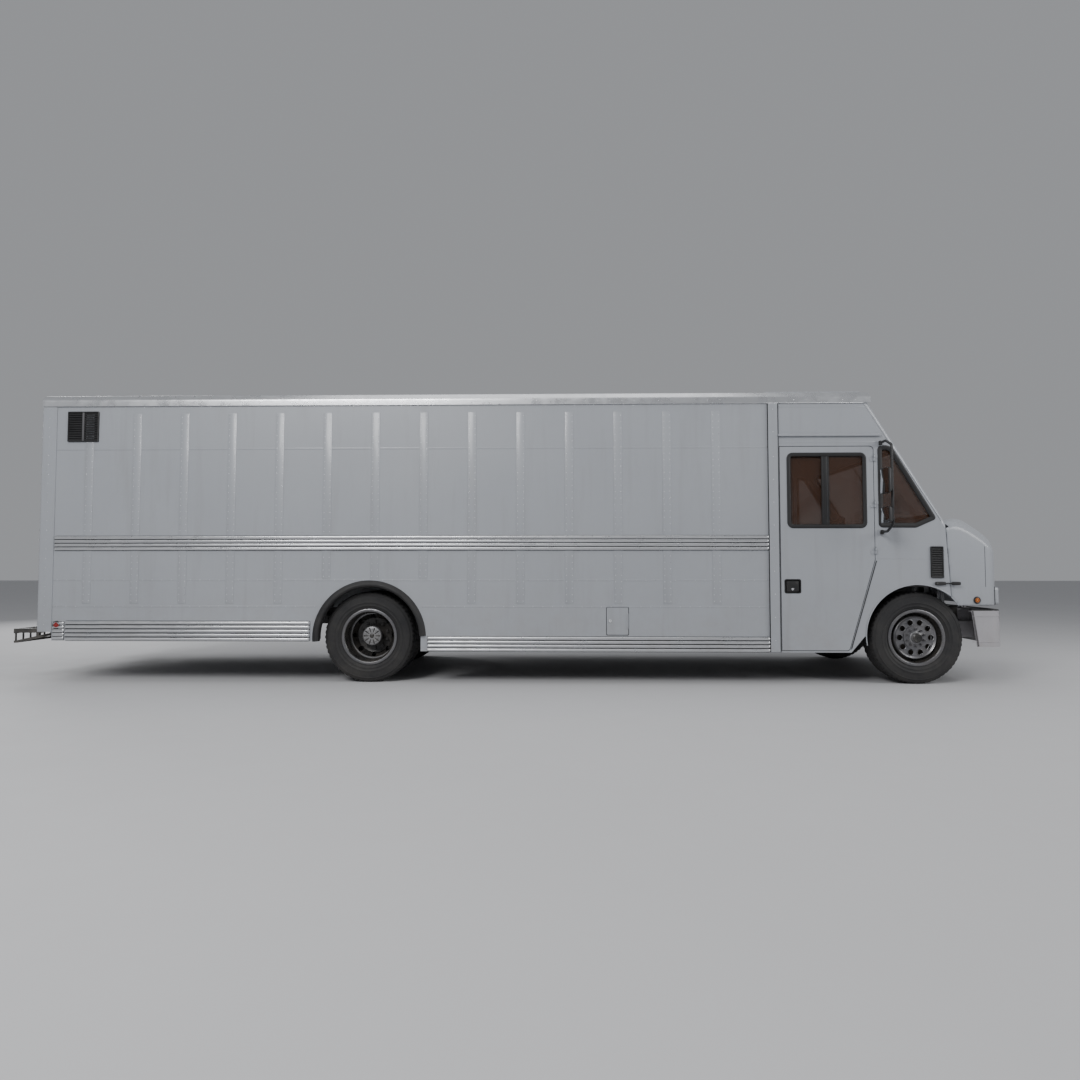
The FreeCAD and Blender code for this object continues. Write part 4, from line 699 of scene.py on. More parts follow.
def body_side():
    strips, rivets, seams = G(), G(), G()
    for k in range(14):
        x = POST0 + PITCH * k
        z0 = 1003 if abs(x) < 560 else 766
        strips.add(plate(rnd([(x - 42, z0), (x + 42, z0), (x + 42, 2626), (x - 42, 2626)], 5, 3), ypos(HW), -0.5, 2.6, 1.4))
        z = z0 + 26
        while z < 2615:
            if not 1262 < z < 1442:
                for dx in (-28, 28):
                    rivets.add(dome((x + dx, HW + 2.4, z), (0, 1, 0), 4.6, 2.2, 7))
            z += 62
    for z in (2275.0, 994.0, 738.0):
        x0, x1 = -3088, 3859
        for a, b in ((x0, -488 if z < 900 else x1), (528, x1)) if z < 900 else ((x0, x1),):
            seams.add(plate([(a, z - 9), (b, z - 9), (b, z + 9), (a, z + 9)], ypos(HW), -0.5, 1.3, 0.8))
            x = a + 40
            while x < b - 20 and z < 2000:
                if abs((x - POST0 + PITCH / 2) % PITCH - PITCH / 2) > 52:
                    rivets.add(dome((x, HW + 1.2, z), (0, 1, 0), 3.6, 1.6, 7))
                x += 94
    # flange rivets under the roof rail
    x = -3070.0
    while x < 3850:
        rivets.add(dome((x, HW - 0.2, 2688), (0, 1, 0), 3.6, 1.6, 7))
        x += 94
    return strips, rivets, seams


st, rv, se = body_side()
for s, w in SIDES:
    piece("panel_strips_" + w, st.side(s), "root", "body_paint", smooth=30)
    piece("panel_seams_" + w, se.side(s), "root", "body_paint", smooth=30)
    piece("panel_rivets_" + w, rv.side(s), "root", "body_paint", ["aluminium"], smooth=60)


def ribbed(z0, z1, ribs, depth, x0, x1, backing):
    """Guard rail: half-round aluminium ribs over a backing whose groove, edge and end faces take the black slot as
    painted shade for the grooves between the ribs.
    """
    p = (z1 - z0) / ribs
    # index 1 marks the backing faces in the grooves and along the edges: painted groove shade in black
    sec, mi = [(0.0, z0)], [1]
    sec.append((3.5, z0))
    mi.append(1)
    for i in range(ribs):
        c = z0 + (i + 0.5) * p
        h = p * 0.41
        for k in range(9):
            a = math.radians(-90 + 180 * k / 8)
            sec.append((3.5 + (depth - 3.5) * abs(math.cos(a)) ** 0.45, c + h * math.sin(a)))
            mi.append(0 if k < 8 else 1)
    sec.append((3.5, z1))
    mi.append(1)
    sec.append((0.0, z1))
    mi.append(1)
    zc = (z0 + z1) / 2
    rings = []
    for x, k, q in ((x0, 0.25, 0.90), (x0 + 3, 0.72, 0.96), (x0 + 10, 0.95, 0.99), (x0 + 20, 1, 1), (x1 - 20, 1, 1), (x1 - 10, 0.95, 0.99), (x1 - 3, 0.72, 0.96), (x1, 0.25, 0.90)):
        rings.append([(x, HW + d * k, zc + (z - zc) * q) for d, z in sec])
    v, f = loft(rings)
    n = len(sec)
    # the two end caps also take index 1, painted shade
    m = [mi[i % n] for i in range(len(f) - 2)] + [1, 1]
    return (v, f), m


rails = {"belt_rail": (1280, 1425, 4, 19, -3085, 3859, 0), "rear_skirt_rail": (402, 599, 5, 24, -2956, -553, 0), "centre_skirt_rail": (307, 455, 4, 22, 582, 3859, 0)}
for nm, a in rails.items():
    for s, w in SIDES:
        g = G()
        vf, m = ribbed(*a)
        g.add(vf, m)
        # the black_rubber slot on the groove faces is painted shade between the ribs
        o = piece(nm + "_" + w, g.side(s), "root", "aluminium", ["aluminium", "black_rubber"], smooth=32,
                  replaces=["rub_rails"] if (nm == "belt_rail" and s < 0) else ())
# small end cap between the corner post and the rear skirt rail; its black groove faces are painted shade as well
g = G()
vf, m = ribbed(410, 590, 5, 13, -3084, -2964, 0)
g.add(vf, m)
for s, w in SIDES:
    piece("skirt_end_cap_" + w, g.side(s), "root", "aluminium", ["aluminium", "black_rubber"], smooth=32)

# roof: lap strips over each bow, rail rivets, edge beads
CR = (1120.0 ** 2 + 38.0 ** 2) / (2 * 38.0)


def crown(y, r=CR):
    return 2850 - CR + math.sqrt(r * r - y * y)


g, gr = G(), G()
for k in range(14):
    x = POST0 + PITCH * k + 235.5
    if x > 3800:
        continue
    rings = []
    for j in range(29):
        y = -1112 + 2224 * j / 28
        z = crown(y)
        e = 0.2 if j in (0, 28) else 1.0
        rings.append([(x - 24, y, z - 0.6), (x - 24, y, z + 0.4 * e), (x - 21, y, z + 2.4 * e), (x + 21, y, z + 2.4 * e), (x + 24, y, z + 0.4 * e), (x + 24, y, z - 0.6)])
    g.add(loft(rings))
    for j in range(15):
        y = -1060 + 2120 * j / 14
        for dx in (-13, 13):
            gr.add(dome((x + dx, y, crown(y) + 2.2), (0, 0, 1), 4.2, 2.0, 6))
piece("roof_lap_strips", g, "root", "roof_white", smooth=30)
piece("roof_rivets", gr, "root", "roof_white", ["aluminium"], smooth=60)
g = G()
x = -3200.0
while x < 4760:
    g.add(dome((x, 1187.6, 2732), (0, 1, 0), 4.4, 2.0, 7))
    x += 118
piece("roof_rail_rivets", g.both(), "root", "aluminium", smooth=60)
g = G()
for s in (1,):
    g.add(tube([(-3230, 1189, 2700), (4776, 1189, 2700)], 2.6, n=8))
piece("roof_rail_drip_bead", g.both(), "root", "aluminium", smooth=50)

# ============================================================ wheel flares
g = G()
sec = [(550, -0.5), (551, 4), (547, 9), (536, 14), (526, 20), (520, 26), (511, 27.5), (500, 26), (491, 19), (486, 8), (486, -33), (491, -33), (493, -6), (500, -0.5)]
rings = []
a0, a1 = math.radians(180 + math.degrees(math.asin(38 / 520))), math.radians(math.degrees(math.asin(18 / 520)))
for k in range(73):
    a = a0 + (a1 - a0) * k / 72
    rings.append([(20 + r * math.cos(a), HW + d, 440 + r * math.sin(a)) for r, d in sec])
g.add(loft(rings))
for k in range(13):
    a = math.radians(8 + 164 * k / 12)
    g.join(bolt((20 + 538 * math.cos(a), HW + 12.2, 440 + 538 * math.sin(a)), (0.0, 1, 0), 4.4, 3.6, False))
for s, w in SIDES:
    piece("wheel_flare_" + w, g.side(s), "root", "black_rubber", smooth=40, replaces=["wheel_flares"] if s < 0 else ())
# inner liner of the rear arch
g = G()
rings = []
for k in range(49):
    a = math.radians(-2 + 184 * k / 48)
    rings.append([(20 + r * math.cos(a), HW + d, 440 + r * math.sin(a)) for r, d in ((488, -34), (488, -60), (491, -60), (491, -34))])
g.add(loft(rings))
piece("rear_arch_liners", g.both(), "root", "black_rubber", smooth=40)

# ================================================================ glazing
DOORWIN = rnd([(4048, 1498), (4791, 1498), (4791, 2211), (4048, 2211)], 50, 8)
QUARTER = rnd([(4915, 1504), (5259, 1502), (5445, 1584), (5042, 2262), (4990, 2280), (4915, 2280)], [34, 60, 22, 40, 30, 40], 8)
SEAL = [(8, -0.3), (7.5, 3.5), (3, 6.8), (-6, 7.6), (-18, 6.2), (-27, 2.6), (-29, -3), (-27, -12), (-20, -15), (-2, -15), (-1, -3), (0.5, -0.4)]
SEALQ = [(8, -0.3), (7.5, 3.5), (3, 6.5), (-8, 7.4), (-22, 6.2), (-34, 2.6), (-37, -3), (-34, -11), (-26, -13.6), (-2, -13.6), (-1, -3), (0.5, -0.4)]
for s, w in SIDES:
    g = G().add(sweep_outline(DOORWIN, ypos(HW), SEAL))
    piece("door_window_rubber_" + w, g.side(s), "door_" + w, "black_rubber", smooth=45)
    g = G().add(sweep_outline(QUARTER, ypos(HW), SEALQ))
    piece("quarter_window_rubber_" + w, g.side(s), "root", "black_rubber", smooth=45)
    g = G().add(plate(offs(QUARTER, 1), ypos(HW), -20, -14.2, 1.0))
    piece("quarter_glass_" + w, g.side(s), "root", "tinted_glass", smooth=30, replaces=["cab_glass"] if s < 0 else ())
    # door centre post with rubber channels
    g = G()
    g.add(rbox(4372, 4386, HW - 14.5, HW + 1.5, 1510, 2199, 3), 0)
    g.add(rbox(4429, 4443, HW - 14.5, HW + 1.5, 1510, 2199, 3), 0)
    g.add(rbox(4387, 4428, HW - 14.8, HW - 1.5, 1510, 2199, 3), 1)
    piece("door_window_post_" + w, g.side(s), "door_" + w, "black_rubber", ["black_rubber", "black_plastic"], smooth=30)
    # sliding pane with its frame and finger pull
    po = rnd([(4054, 1504), (4428, 1504), (4428, 2205), (4054, 2205)], [46, 3, 3, 46], 8)
    g = G().add(plate(offs(po, -3), ypos(HW), -29, -26, 0.6), 0)
    g.add(sweep_outline(po, ypos(HW), [(0, -30), (0, -25), (-7, -24.4), (-14, -25.2), (-14, -29.8), (-7, -30.6)]), 1)
    g.add(rbox(4403, 4421, HW - 38, HW - 29.5, 1758, 1862, 3, 6), 1)
    piece("sliding_pane_" + w, g.side(s), "door_slider_" + w, "tinted_glass", ["tinted_glass", "black_rubber"], smooth=35, replaces=["door_slider_" + w])

WS = rnd([(-1060, 1612), (1060, 1612), (1060, 2270), (-1060, 2270)], 72, 8)


def dense(o, step=90):
    out = []
    for i, p in enumerate(o):
        q = o[(i + 1) % len(o)]
        L = math.hypot(q[0] - p[0], q[1] - p[1])
        k = max(1, int(L // step))
        out += [(p[0] + (q[0] - p[0]) * j / k, p[1] + (q[1] - p[1]) * j / k) for j in range(k)]
    return out


WSD = dense(WS)
g = G().add(sweep_outline(WSD, on_front, [(9, -1), (8.5, 3), (3, 6.5), (-8, 7), (-22, 5.4), (-32, 1), (-34, -4), (-31, -9), (-20, -10.5), (-2, -10.5), (-1, -3), (0.5, -1)]))
piece("windshield_rubber", g, "root", "black_rubber", smooth=45)
g = G()
nu, nv = 24, 6
for d0, flipf in ((-5.6, False), (-10.2, True)):
    rows = [[on_front(-1052 + 2104 * i / nu, 1618 + 646 * j / nv, d0) for i in range(nu + 1)] for j in range(nv + 1)]
    g.add(loft(rows, close_u=False, caps=(False, False)))
n0 = (nu + 1) * (nv + 1)
rim = [i for i in range(nu + 1)] + [j * (nu + 1) + nu for j in range(1, nv + 1)] + [nv * (nu + 1) + i for i in range(nu - 1, -1, -1)] + [j * (nu + 1) for j in range(nv - 1, 0, -1)]
g.f += [[rim[i], rim[(i + 1) % len(rim)], rim[(i + 1) % len(rim)] + n0, rim[i] + n0] for i in range(len(rim))]
g.m += [0] * len(rim)
piece("windshield_glass", g, "root", "tinted_glass", smooth=30)
# centre moulding of the two-part screen is a thin rubber line
g = G().add(tube([on_front(0, 1615, 0.5), on_front(0, 2267, 0.5)], 7, n=10))
piece("windshield_centre_bead", g, "root", "black_rubber", smooth=50)

# ============================================================= cab details
DOOR_OPEN = rnd([(3969, 321), (4614, 321), (4871, 1188), (4871, 2283), (3969, 2283)], [0, 30, 0, 40, 12], 6)
for s, w in SIDES:
    g = G().add(sweep_outline(DOOR_OPEN, ypos(HW), [(0.4, -29), (0.4, -7), (-2.4, -6.2), (-3.6, -9), (-3.6, -26), (-2.4, -29)]))
    piece("door_opening_seal_" + w, g.side(s), "root", "black_rubber", smooth=40)
    # front wheel arch lip, cab part and hood part
    for nm, body, a0, a1 in (("cab_arch_lip_", "root", 52, 190), ("hood_arch_lip_", "hood", 36.5, 49.3)):
        g = G()
        pts = []
        for k in range(41):
            a = math.radians(a0 + (a1 - a0) * k / 40)
            xx = 5262 + 492 * math.cos(a)
            yy = HW + 1 if body == "root" else 1190 - (xx - 5400) * (1190 - 1120) / (5930 - 5400) - 1.0
            pts.append((xx, yy, 460 + 492 * math.sin(a)))
        g.add(tube(pts, 5.2, n=10, caps=True))
        piece(nm + w, g.side(s), body, "body_paint", smooth=50)
    # B-post edge beads, header seam and cowl seam
    g = G()
    for x in (3862.5, 3959.5):
        g.add(rbox(x - 3.5, x + 3.5, HW - 0.5, HW + 14, 313, 2697, 1.6))
    piece("b_post_edging_" + w, g.side(s), "root", "black_rubber", smooth=30)
    g = G()
    for z in (420, 640, 860, 1080, 1300, 1520, 1740, 1960, 2180, 2420, 2640):
        g.add(dome((3911, HW + 12, z), (0, 1, 0), 5.5, 2.4, 8))
    piece("b_post_rivets_" + w, g.side(s), "root", "aluminium", smooth=60)
    g = G()
    g.add(plate([(3962, 2312), (4890, 2312), (4890, 2324), (3962, 2324)], ypos(HW), -0.4, 1.3, 0.7))
    g.add(plate([(3962, 2660), (4800, 2660), (4800, 2668), (3962, 2668)], ypos(HW), -0.4, 1.3, 0.7))
    g.add(plate([(4885, 1196), (5520, 1196), (5520, 1204), (4885, 1204)], ypos(HW), -0.4, 1.2, 0.7))
    piece("cab_panel_seams_" + w, g.side(s), "root", "body_paint", smooth=30)
    # A-pillar edge bead
    g = G()
    x0, z0, x1, z1 = 4771 + 60 * .2, 2700, 4771 + (2720 - 1560) * SLOPE + 12, 1560
    g.add(tube([(x0, HW + 0.5, z0), (x1, HW + 0.5, z1)], 3.4, n=8))
    piece("pillar_bead_" + w, g.side(s), "root", "body_paint", smooth=50)
    # dark gasket on the slanted lower edge of the door opening
    g = G()
    a, b = Vector((4870, 0, 1178)), Vector((4618, 0, 338))
    d = (b - a).normalized()
    k = 0.0
    while k < (b - a).length - 14:
        p = a + d * k
        q = a + d * (k + 9)
        g.add(tube([(p.x + 9, HW + 0.6, p.z), (q.x + 9, HW + 0.6, q.z)], 5.0, n=8))
        k += 15
    g.add(tube([(a.x + 9, HW + 0.2, a.z), (b.x + 9, HW + 0.2, b.z)], 3.6, n=8))
    piece("door_edge_gasket_" + w, g.side(s), "root", "black_rubber", smooth=40)

# louvres --------------------------------------------------------------
def louvre(x0, x1, z0, z1, cols, slats, deep=15):
    g = G()
    o = rnd([(x0, z0), (x1, z0), (x1, z1), (x0, z1)], 9, 5)
    g.add(sweep_outline(o, ypos(HW), [(0, -0.5), (0, deep - 5), (-2.5, deep - 1), (-7, deep), (-11, deep - 3), (-11.5, -0.5)]), 0)
    g.add(plate(offs(o, -5), ypos(HW), -0.5, 2.0, 0.6), 0)
    w = (x1 - x0 - 22 - (cols - 1) * 22) / cols
    h = (z1 - z0 - 22) / slats
    for c in range(cols):
        xa = x0 + 11 + c * (w + 22)
        if c:
            g.add(rbox(xa - 21, xa - 1, HW, HW + deep - 3, z0 + 8, z1 - 8, 2), 1)
        for i in range(slats):
            z = z0 + 11 + i * h
            sec = [(1.0, z + h * 0.98), (4, z + h * 0.80), (deep - 3.0, z + h * 0.24), (deep - 1.6, z + h * 0.12), (deep - 3.0, z + h * 0.02), (deep - 5.5, z + h * 0.10), (1.0, z + h * 0.52)]
            g.add(loft([[(xx, HW + d, zz) for d, zz in sec] for xx in (xa, xa + w)]), 0)
    for x in (x0 + 5, x1 - 5):
        for z in (z0 + 5, z1 - 5):
            g.add(dome((x, HW + deep - 1, z), (0, 1, 0), 3.2, 1.4, 8), 1)
    return g


for s, w in SIDES:
    piece("body_vent_" + w, louvre(-2980, -2670, 2350, 2650, 2, 12).side(s), "root", "black_plastic", ["black_plastic", "trim_grey"], smooth=30,
          replaces=["louvre_vents"] if s < 0 else ())
    piece("cowl_vent_" + w, louvre(5387, 5508, 1015, 1316, 1, 13).side(s), "root", "black_plastic", ["black_plastic", "trim_grey"], smooth=30)


# lamps ----------------------------------------------------------------
def round_lamp(p, d, R, depth=11):
    """Bezel, lens with stepped rings."""
    g = G()
    g.add(lathe([(R + 5, -0.5), (R + 5, depth * 0.55), (R + 2, depth * 0.95), (R - 3, depth), (R - 6.5, depth * 0.7), (R - 7, -0.5)], p, d, 40), 0)
    prof = [(R - 6.5, depth * 0.3), (R - 6.5, depth * 0.75)]
    k = 5
    for i in range(k):
        r0 = (R - 8) * (1 - i / k)
        r1 = (R - 8) * (1 - (i + 0.75) / k)
        top = depth * (0.82 + 0.3 * (1 - (r0 / R) ** 2))
        prof += [(r0, top), (max(r1, 0.01), top + 0.8)]
    prof.append((0.01, depth * 1.16))
    g.add(lathe(prof, p, d, 40), 1)
    return g


g = round_lamp((-3039, HW, 556), (0, 1, 0), 34, 13)
for s, w in SIDES:
    piece("side_marker_red_" + w, g.side(s), "root", "red_lens", ["black_rubber", "red_lens"], smooth=35, replaces=["lamps"] if s < 0 else ())
for i, (z, mt) in enumerate(((600, "clear_lens"), (690, "red_lens"))):
    g = round_lamp((-3240, 1114, z), (-1, 0, 0), 37, 10)
    for s, w in SIDES:
        piece("rear_lamp_%d_%s" % (i + 1, w), g.side(s), "root", "red_lens", ["black_rubber", mt], smooth=35)


def bar_lamp(y, z=2693, w=40, h=13, depth=10):
    g = G()
    o = rnd([(y - w, z - h), (y + w, z - h), (y + w, z + h), (y - w, z + h)], 8, 5)
    g.add(sweep_outline(o, xpos(-3240), [(2, 0.5), (2, -5), (-1, -7), (-4, -5), (-4, 0.5)]), 0)
    g.add(plate(offs(o, -3), xpos(-3240), 0.5, -depth, 3), 1)
    return g


g = G()
for y in (-150, 0, 150):
    g.join(bar_lamp(y))
g.join(bar_lamp(1015, w=30)).join(bar_lamp(-1015, w=30))
piece("rear_header_lamps", g, "root", "red_lens", ["black_rubber", "red_lens"], smooth=35)
g = G()
for y in (-950, -160, 0, 160, 950):
    o = dense(rnd([(y - 46, 2690), (y + 46, 2690), (y + 46, 2714), (y - 46, 2714)], 9, 5), 20)
    g.add(sweep_outline(o, on_front, [(3, -1), (3, 4), (0, 6), (-3, 4.5), (-3, -1)]), 0)
    rings = [[on_front(u, v, d) for u, v in offs(o, -q)] for q, d in ((2, -1), (2, 6), (4, 10), (8, 12))]
    g.add(loft(rings), 1)
piece("front_header_markers", g, "root", "red_lens", ["black_rubber", "amber_lens"], smooth=35)

# rear frame trim: rivets
g = G()
for z in range(560, 2680, 92):
    for y in (1150, 1176):
        g.add(dome((-3240, y, z), (-1, 0, 0), 4.0, 1.8, 7))
    g.add(dome((-3165, 1186, z), (0, 1, 0), 4.4, 2.0, 7))
for y in range(40, 1050, 92):
    g.add(dome((-3240, y, 2745), (-1, 0, 0), 4.0, 1.8, 7))
piece("rear_frame_rivets", g.both(), "root", "aluminium", smooth=60)

# step bumper: grip strut deck
g = G()
for i in range(6):
    xa = -3485 + i * 36
    for j in range(41):
        y = -1050 + j * 51.5
        g.add(lathe([(11, 0), (13, 1.5), (11.5, 4.5), (8.6, 4.2), (8.4, 0)], (xa + 8, y, 507.8), (0, 0, 1), 6))
    g.add(rbox(xa, xa + 16, -1074, 1074, 503, 508, 1))
piece("step_grip_deck", g, "root", "chassis_black", smooth=35)


# ============================================================== cab doors
def paint(o, fn):
    """Material index of every face from its centre (mm, rear-axle frame) and normal."""
    for p in o.data.polygons:
        c = p.center
        p.material_index = fn(Vector(((c.x - AX) * 1000, c.y * 1000, c.z * 1000)), p.normal)


def lump_piece(node, name, lumps, slot, mats=None, bevel=1.5, smooth=30, replaces=False):
    o = bpy.data.objects.new(name, lump_mesh(lumps, name))
    bpy.context.scene.collection.objects.link(o)
    return finish_obj(o, BODY[node], mats or [slot], smooth, bevel, [node] if replaces else [])


for s, w in SIDES:
    node = "door_" + w
    lumps = islands(node)
    glass = [L for L in lumps if (L["hi"].y - L["lo"].y) < 0.008 and (L["hi"].x - L["lo"].x) > 0.3]
    leaf = [lumps[0]]
    rest = [L for L in lumps if L is not lumps[0] and not any(L is q for q in glass)]
    lump_piece(node, "door_leaf_" + w, leaf, "body_paint", bevel=2.4, replaces=True)
    if glass:
        lump_piece(node, "door_fixed_glass_" + w, glass, "tinted_glass", bevel=0.6)
    if rest:
        lump_piece(node, "door_hinge_pins_" + w, rest, "dark_steel", bevel=0.6)
    # inner card with a grab rest and pressed ribs
    g = G()
    card = rnd([(4075, 436), (4551, 436), (4744, 1113), (4744, 1364), (4075, 1364)], 30, 6)
    g.add(plate(card, ypos(HW), -33.4, -24.6, 2.5))
    for z in (560, 680, 800, 920):
        g.add(rbox(4130, 4520, HW - 37, HW - 32, z, z + 26, 2, 10))
    g.add(rbox(4230, 4640, HW - 74, HW - 32, 1130, 1172, 9, 16))
    piece("door_card_" + w, g.side(s), node, "interior_grey", ["trim_grey"], smooth=35)
    # handle recess
    rec = rnd([(4009, 872), (4158, 872), (4158, 999), (4009, 999)], 14, 6)
    g = G()
    g.add(sweep_outline(rec, ypos(HW), [(5, -0.3), (5, 1.4), (2, 2.6), (-2, 2.4), (-4, 0), (-5, -20.5), (-0.6, -20.5), (-0.4, -0.5)]), 0)
    g.add(plate(offs(rec, -4), ypos(HW), -21.6, -19.4, 0.6), 0)
    piece("door_handle_recess_" + w, g.side(s), node, "black_plastic", smooth=35)
    g = G()
    g.add(rbox(4026, 4141, HW - 9, HW - 3, 884, 985, 2.2, 9, 5), 0)
    g.add(rbox(4038, 4129, HW - 4.2, HW - 1.6, 930, 972, 1.4, 8, 5), 0)
    g.add(tube([(4027, HW - 9, 981), (4140, HW - 9, 981)], 4.6, n=12), 0)
    g.add(tube([(4040, HW - 11, 888), (4127, HW - 11, 888)], 4.0, n=10), 0)
    g.add(lathe([(11, -4), (11, 0.8), (9.4, 2.0), (7, 1.2), (6.8, 0.4), (0.01, 0.4)], (4083.5, HW - 3.2, 908), (0, 1, 0), 24), 1)
    g.add(rbox(4082.4, 4084.6, HW - 3, HW - 2.2, 903, 913, 0.3), 0)
    piece("door_handle_paddle_" + w, g.side(s), "door_handle_" + w, "black_plastic", ["black_plastic", "aluminium"], smooth=35, replaces=["door_handle_" + w])

# ================================================================== hood
def hood_x(y, inset=0.0, c=(5930.0, 964.0), r0=156.0, bd=6.0, nose=6162.0):
    r = r0 - inset
    b = math.radians(bd)
    xe, ye = c[0] + r * math.cos(b), c[1] + r * math.sin(b)
    y = abs(y)
    if y > ye:
        return c[0] + math.sqrt(max(r * r - (y - c[1]) ** 2, 0.0))
    sag = nose - inset - xe
    R = (ye * ye + sag * sag) / (2 * sag)
    return nose - inset - (R - math.sqrt(R * R - y * y))


def on_hood(u, v, d):
    return (hood_x(u, -d), u, v)


def remeshed(node, name, voxel, rounds, factor=0.5):
    o = bpy.data.objects.new(name, NODES[node].data.copy())
    bpy.context.scene.collection.objects.link(o)
    o.data.materials.clear()
    bm = bmesh.new()
    bm.from_mesh(o.data)
    bmesh.ops.remove_doubles(bm, verts=bm.verts, dist=2e-6)
    bm.to_mesh(o.data)
    bm.free()
    m = o.modifiers.new("r", "REMESH")
    m.mode = "VOXEL"
    m.voxel_size = voxel
    m = o.modifiers.new("s", "SMOOTH")
    m.factor = factor
    m.iterations = rounds
    dg = bpy.context.evaluated_depsgraph_get()
    me = bpy.data.meshes.new_from_object(o.evaluated_get(dg))
    o.modifiers.clear()
    o.data = me
    return o


o = remeshed("hood", "hood_skin", 0.0095, 16)
finish_obj(o, BODY["hood"], ["body_paint"], 180, 0, ["hood"])
for p in o.data.polygons:
    p.material_index = 0
for s, w in SIDES:
    # joint between the crown of the hood and its side panel, and its rear edge seal
    g = G()
    g.add(tube([(5935, 1118.8, 930), (5935, 1118.8, 1318)], 2.6, n=8))
    piece("hood_side_seam_" + w, g.side(s), "hood", "black_rubber", smooth=40)
    g = G()
    g.add(rbox(5580, 5592, 1120, 1158, 948, 1180, 3, 4))
    piece("hood_rear_seal_" + w, g.side(s), "root", "black_rubber", smooth=40)

# headlamps: proud corner housings
for s, w in SIDES:
    ho = dense(rnd([(771, 757), (1045, 757), (1045, 925), (771, 925)], 28, 6), 28)
    g = G()
    g.add(sweep_outline(ho, on_hood, [(0, -20), (0, 22), (-3, 29), (-9, 33), (-15, 31.5), (-18, 26), (-18, -20)]), 0)
    rings = [[on_hood(u, v, d) for u, v in offs(ho, -q)] for q, d in ((17.4, 23), (17.6, 27), (22, 30.5), (34, 32.2), (52, 32.8))]
    g.add(loft(rings, caps=(False, True)), 1)
    for z in (782, 790, 798, 884, 892, 900):
        g.add(tube([on_hood(798 + 222 * i / 9, z, 26.4) for i in range(10)], 1.6, n=6), 1)
    g.add(loft([[on_hood(u, v, d) for u, v in offs(ho, -q)] for q, d in ((16, -18), (16, -16))]), 2)
    for y in (848, 964):
        x = hood_x(y, 0)
        g.add(lathe([(56, 20), (53, 8), (42, -4), (26, -11), (12, -13), (12, -14), (30, -13), (46, -6), (57, 8)], (x, y, 841), (1, 0, 0), 32, closed=True), 3)
        g.add(lathe([(10, -13), (10, 2), (7, 8), (0.01, 10)], (x, y, 841), (1, 0, 0), 16), 1)
    piece("headlamp_" + w, g.side(s), BODY["headlamps"], "clear_lens", ["body_paint", "clear_lens", "black_plastic", "chrome"], smooth=40,
          replaces=["headlamps"] if s < 0 else ())
    g = G().add(sweep_outline(offs(ho, 5), on_hood, [(0, -1), (0, 3.5), (-5.5, 3.5), (-5.5, -1)]))
    piece("headlamp_gasket_" + w, g.side(s), BODY["headlamps"], "black_rubber", smooth=40)
    g = round_lamp((5842, 1131.0, 803), (0.131, 0.991, 0), 30, 12)
    piece("side_marker_amber_" + w, g.side(s), BODY["headlamps"], "red_lens", ["black_rubber", "amber_lens"], smooth=35)

for s, w in SIDES:
    g = G()
    g.add(blob((5470, 1194, 963), (52, 8.6, 17), 4.2, 24, 14), 0)
    g.add(blob((5616, 1194, 963), (44, 9.6, 17), 4.2, 24, 14), 0)
    g.add(tube([(5512, 1194, 963), (5546, 1195, 966), (5582, 1194, 963)], 5.4, 18, n=10), 0)
    g.add(lathe([(8, 0), (8, 2), (5, 3), (0.01, 3)], (5436, 1202, 963), (0, 1, 0), 16), 1)
    piece("hood_latch_strap_" + w, g.side(s), "hood_latch_" + w, "black_rubber", ["black_rubber", "dark_steel"], smooth=45, replaces=["hood_latch_" + w])

# ========================================================== front bumper
def bump_plan(inset):
    r, yo = 150 - inset, 1150 - inset
    b = math.radians(5.1)
    pts = [(5782 + (5955 - 5782) * i / 6, yo) for i in range(6)]
    for i in range(12):
        a = math.radians(90) + (b - math.radians(90)) * i / 12
        pts.append((5955 + r * math.cos(a), 1000 + r * math.sin(a)))
    ye = 1000 + r * math.sin(b)
    for i in range(17):
        y = ye * (1 - i / 16)
        pts.append((hood_x(y, inset, (5955.0, 1000.0), 150.0, 5.1, 6200.0), y))
    return pts + [(x, -y) for x, y in reversed(pts[:-1])]


carry("front_bumper", bevel=3.2, name="front_bumper_bar")


def bump_strip(sec):
    cols = [bump_plan(i) for i, z in sec]
    return loft([[(cols[k][j][0], cols[k][j][1], sec[k][1]) for k in range(len(sec))] for j in range(len(cols[0]))])


piece("bumper_top_pad", G().add(bump_strip([(2, 701.5), (2, 708), (5, 712), (42, 712), (46, 709), (46, 701.5)])), BODY["front_bumper"], "black_rubber", smooth=40)
piece("bumper_face_bead", G().add(bump_strip([(1, 655), (-3, 653), (-3, 648), (1, 646)])).add(bump_strip([(1, 413), (-3, 411), (-3, 406), (1, 404)])),
      BODY["front_bumper"], "bumper_steel", smooth=40)
for s, w in SIDES:
    g = G()
    for k in range(34):
        z = 366 + k * 9.9
        x = 5827 - (z - 361) * 49 / 341.0
        g.add(rbox(x + 1, x + 17, 1148.5, 1153.5, z, z + 6.2, 1.2))
    piece("bumper_edge_strip_" + w, g.side(s), BODY["front_bumper"], "black_rubber", smooth=30)
    x = hood_x(620, 0, (5955.0, 1000.0), 150.0, 5.1, 6200.0)
    g = G().add(lathe([(32, -9), (32, 1.5), (34, 3.4), (39, 3.4), (42, 1.2), (42, -2)], (x, 620, 500), (0.993, 0.115, 0), 36))
    piece("tow_hole_trim_" + w, g.side(s), BODY["front_bumper"], "black_rubber", smooth=40)

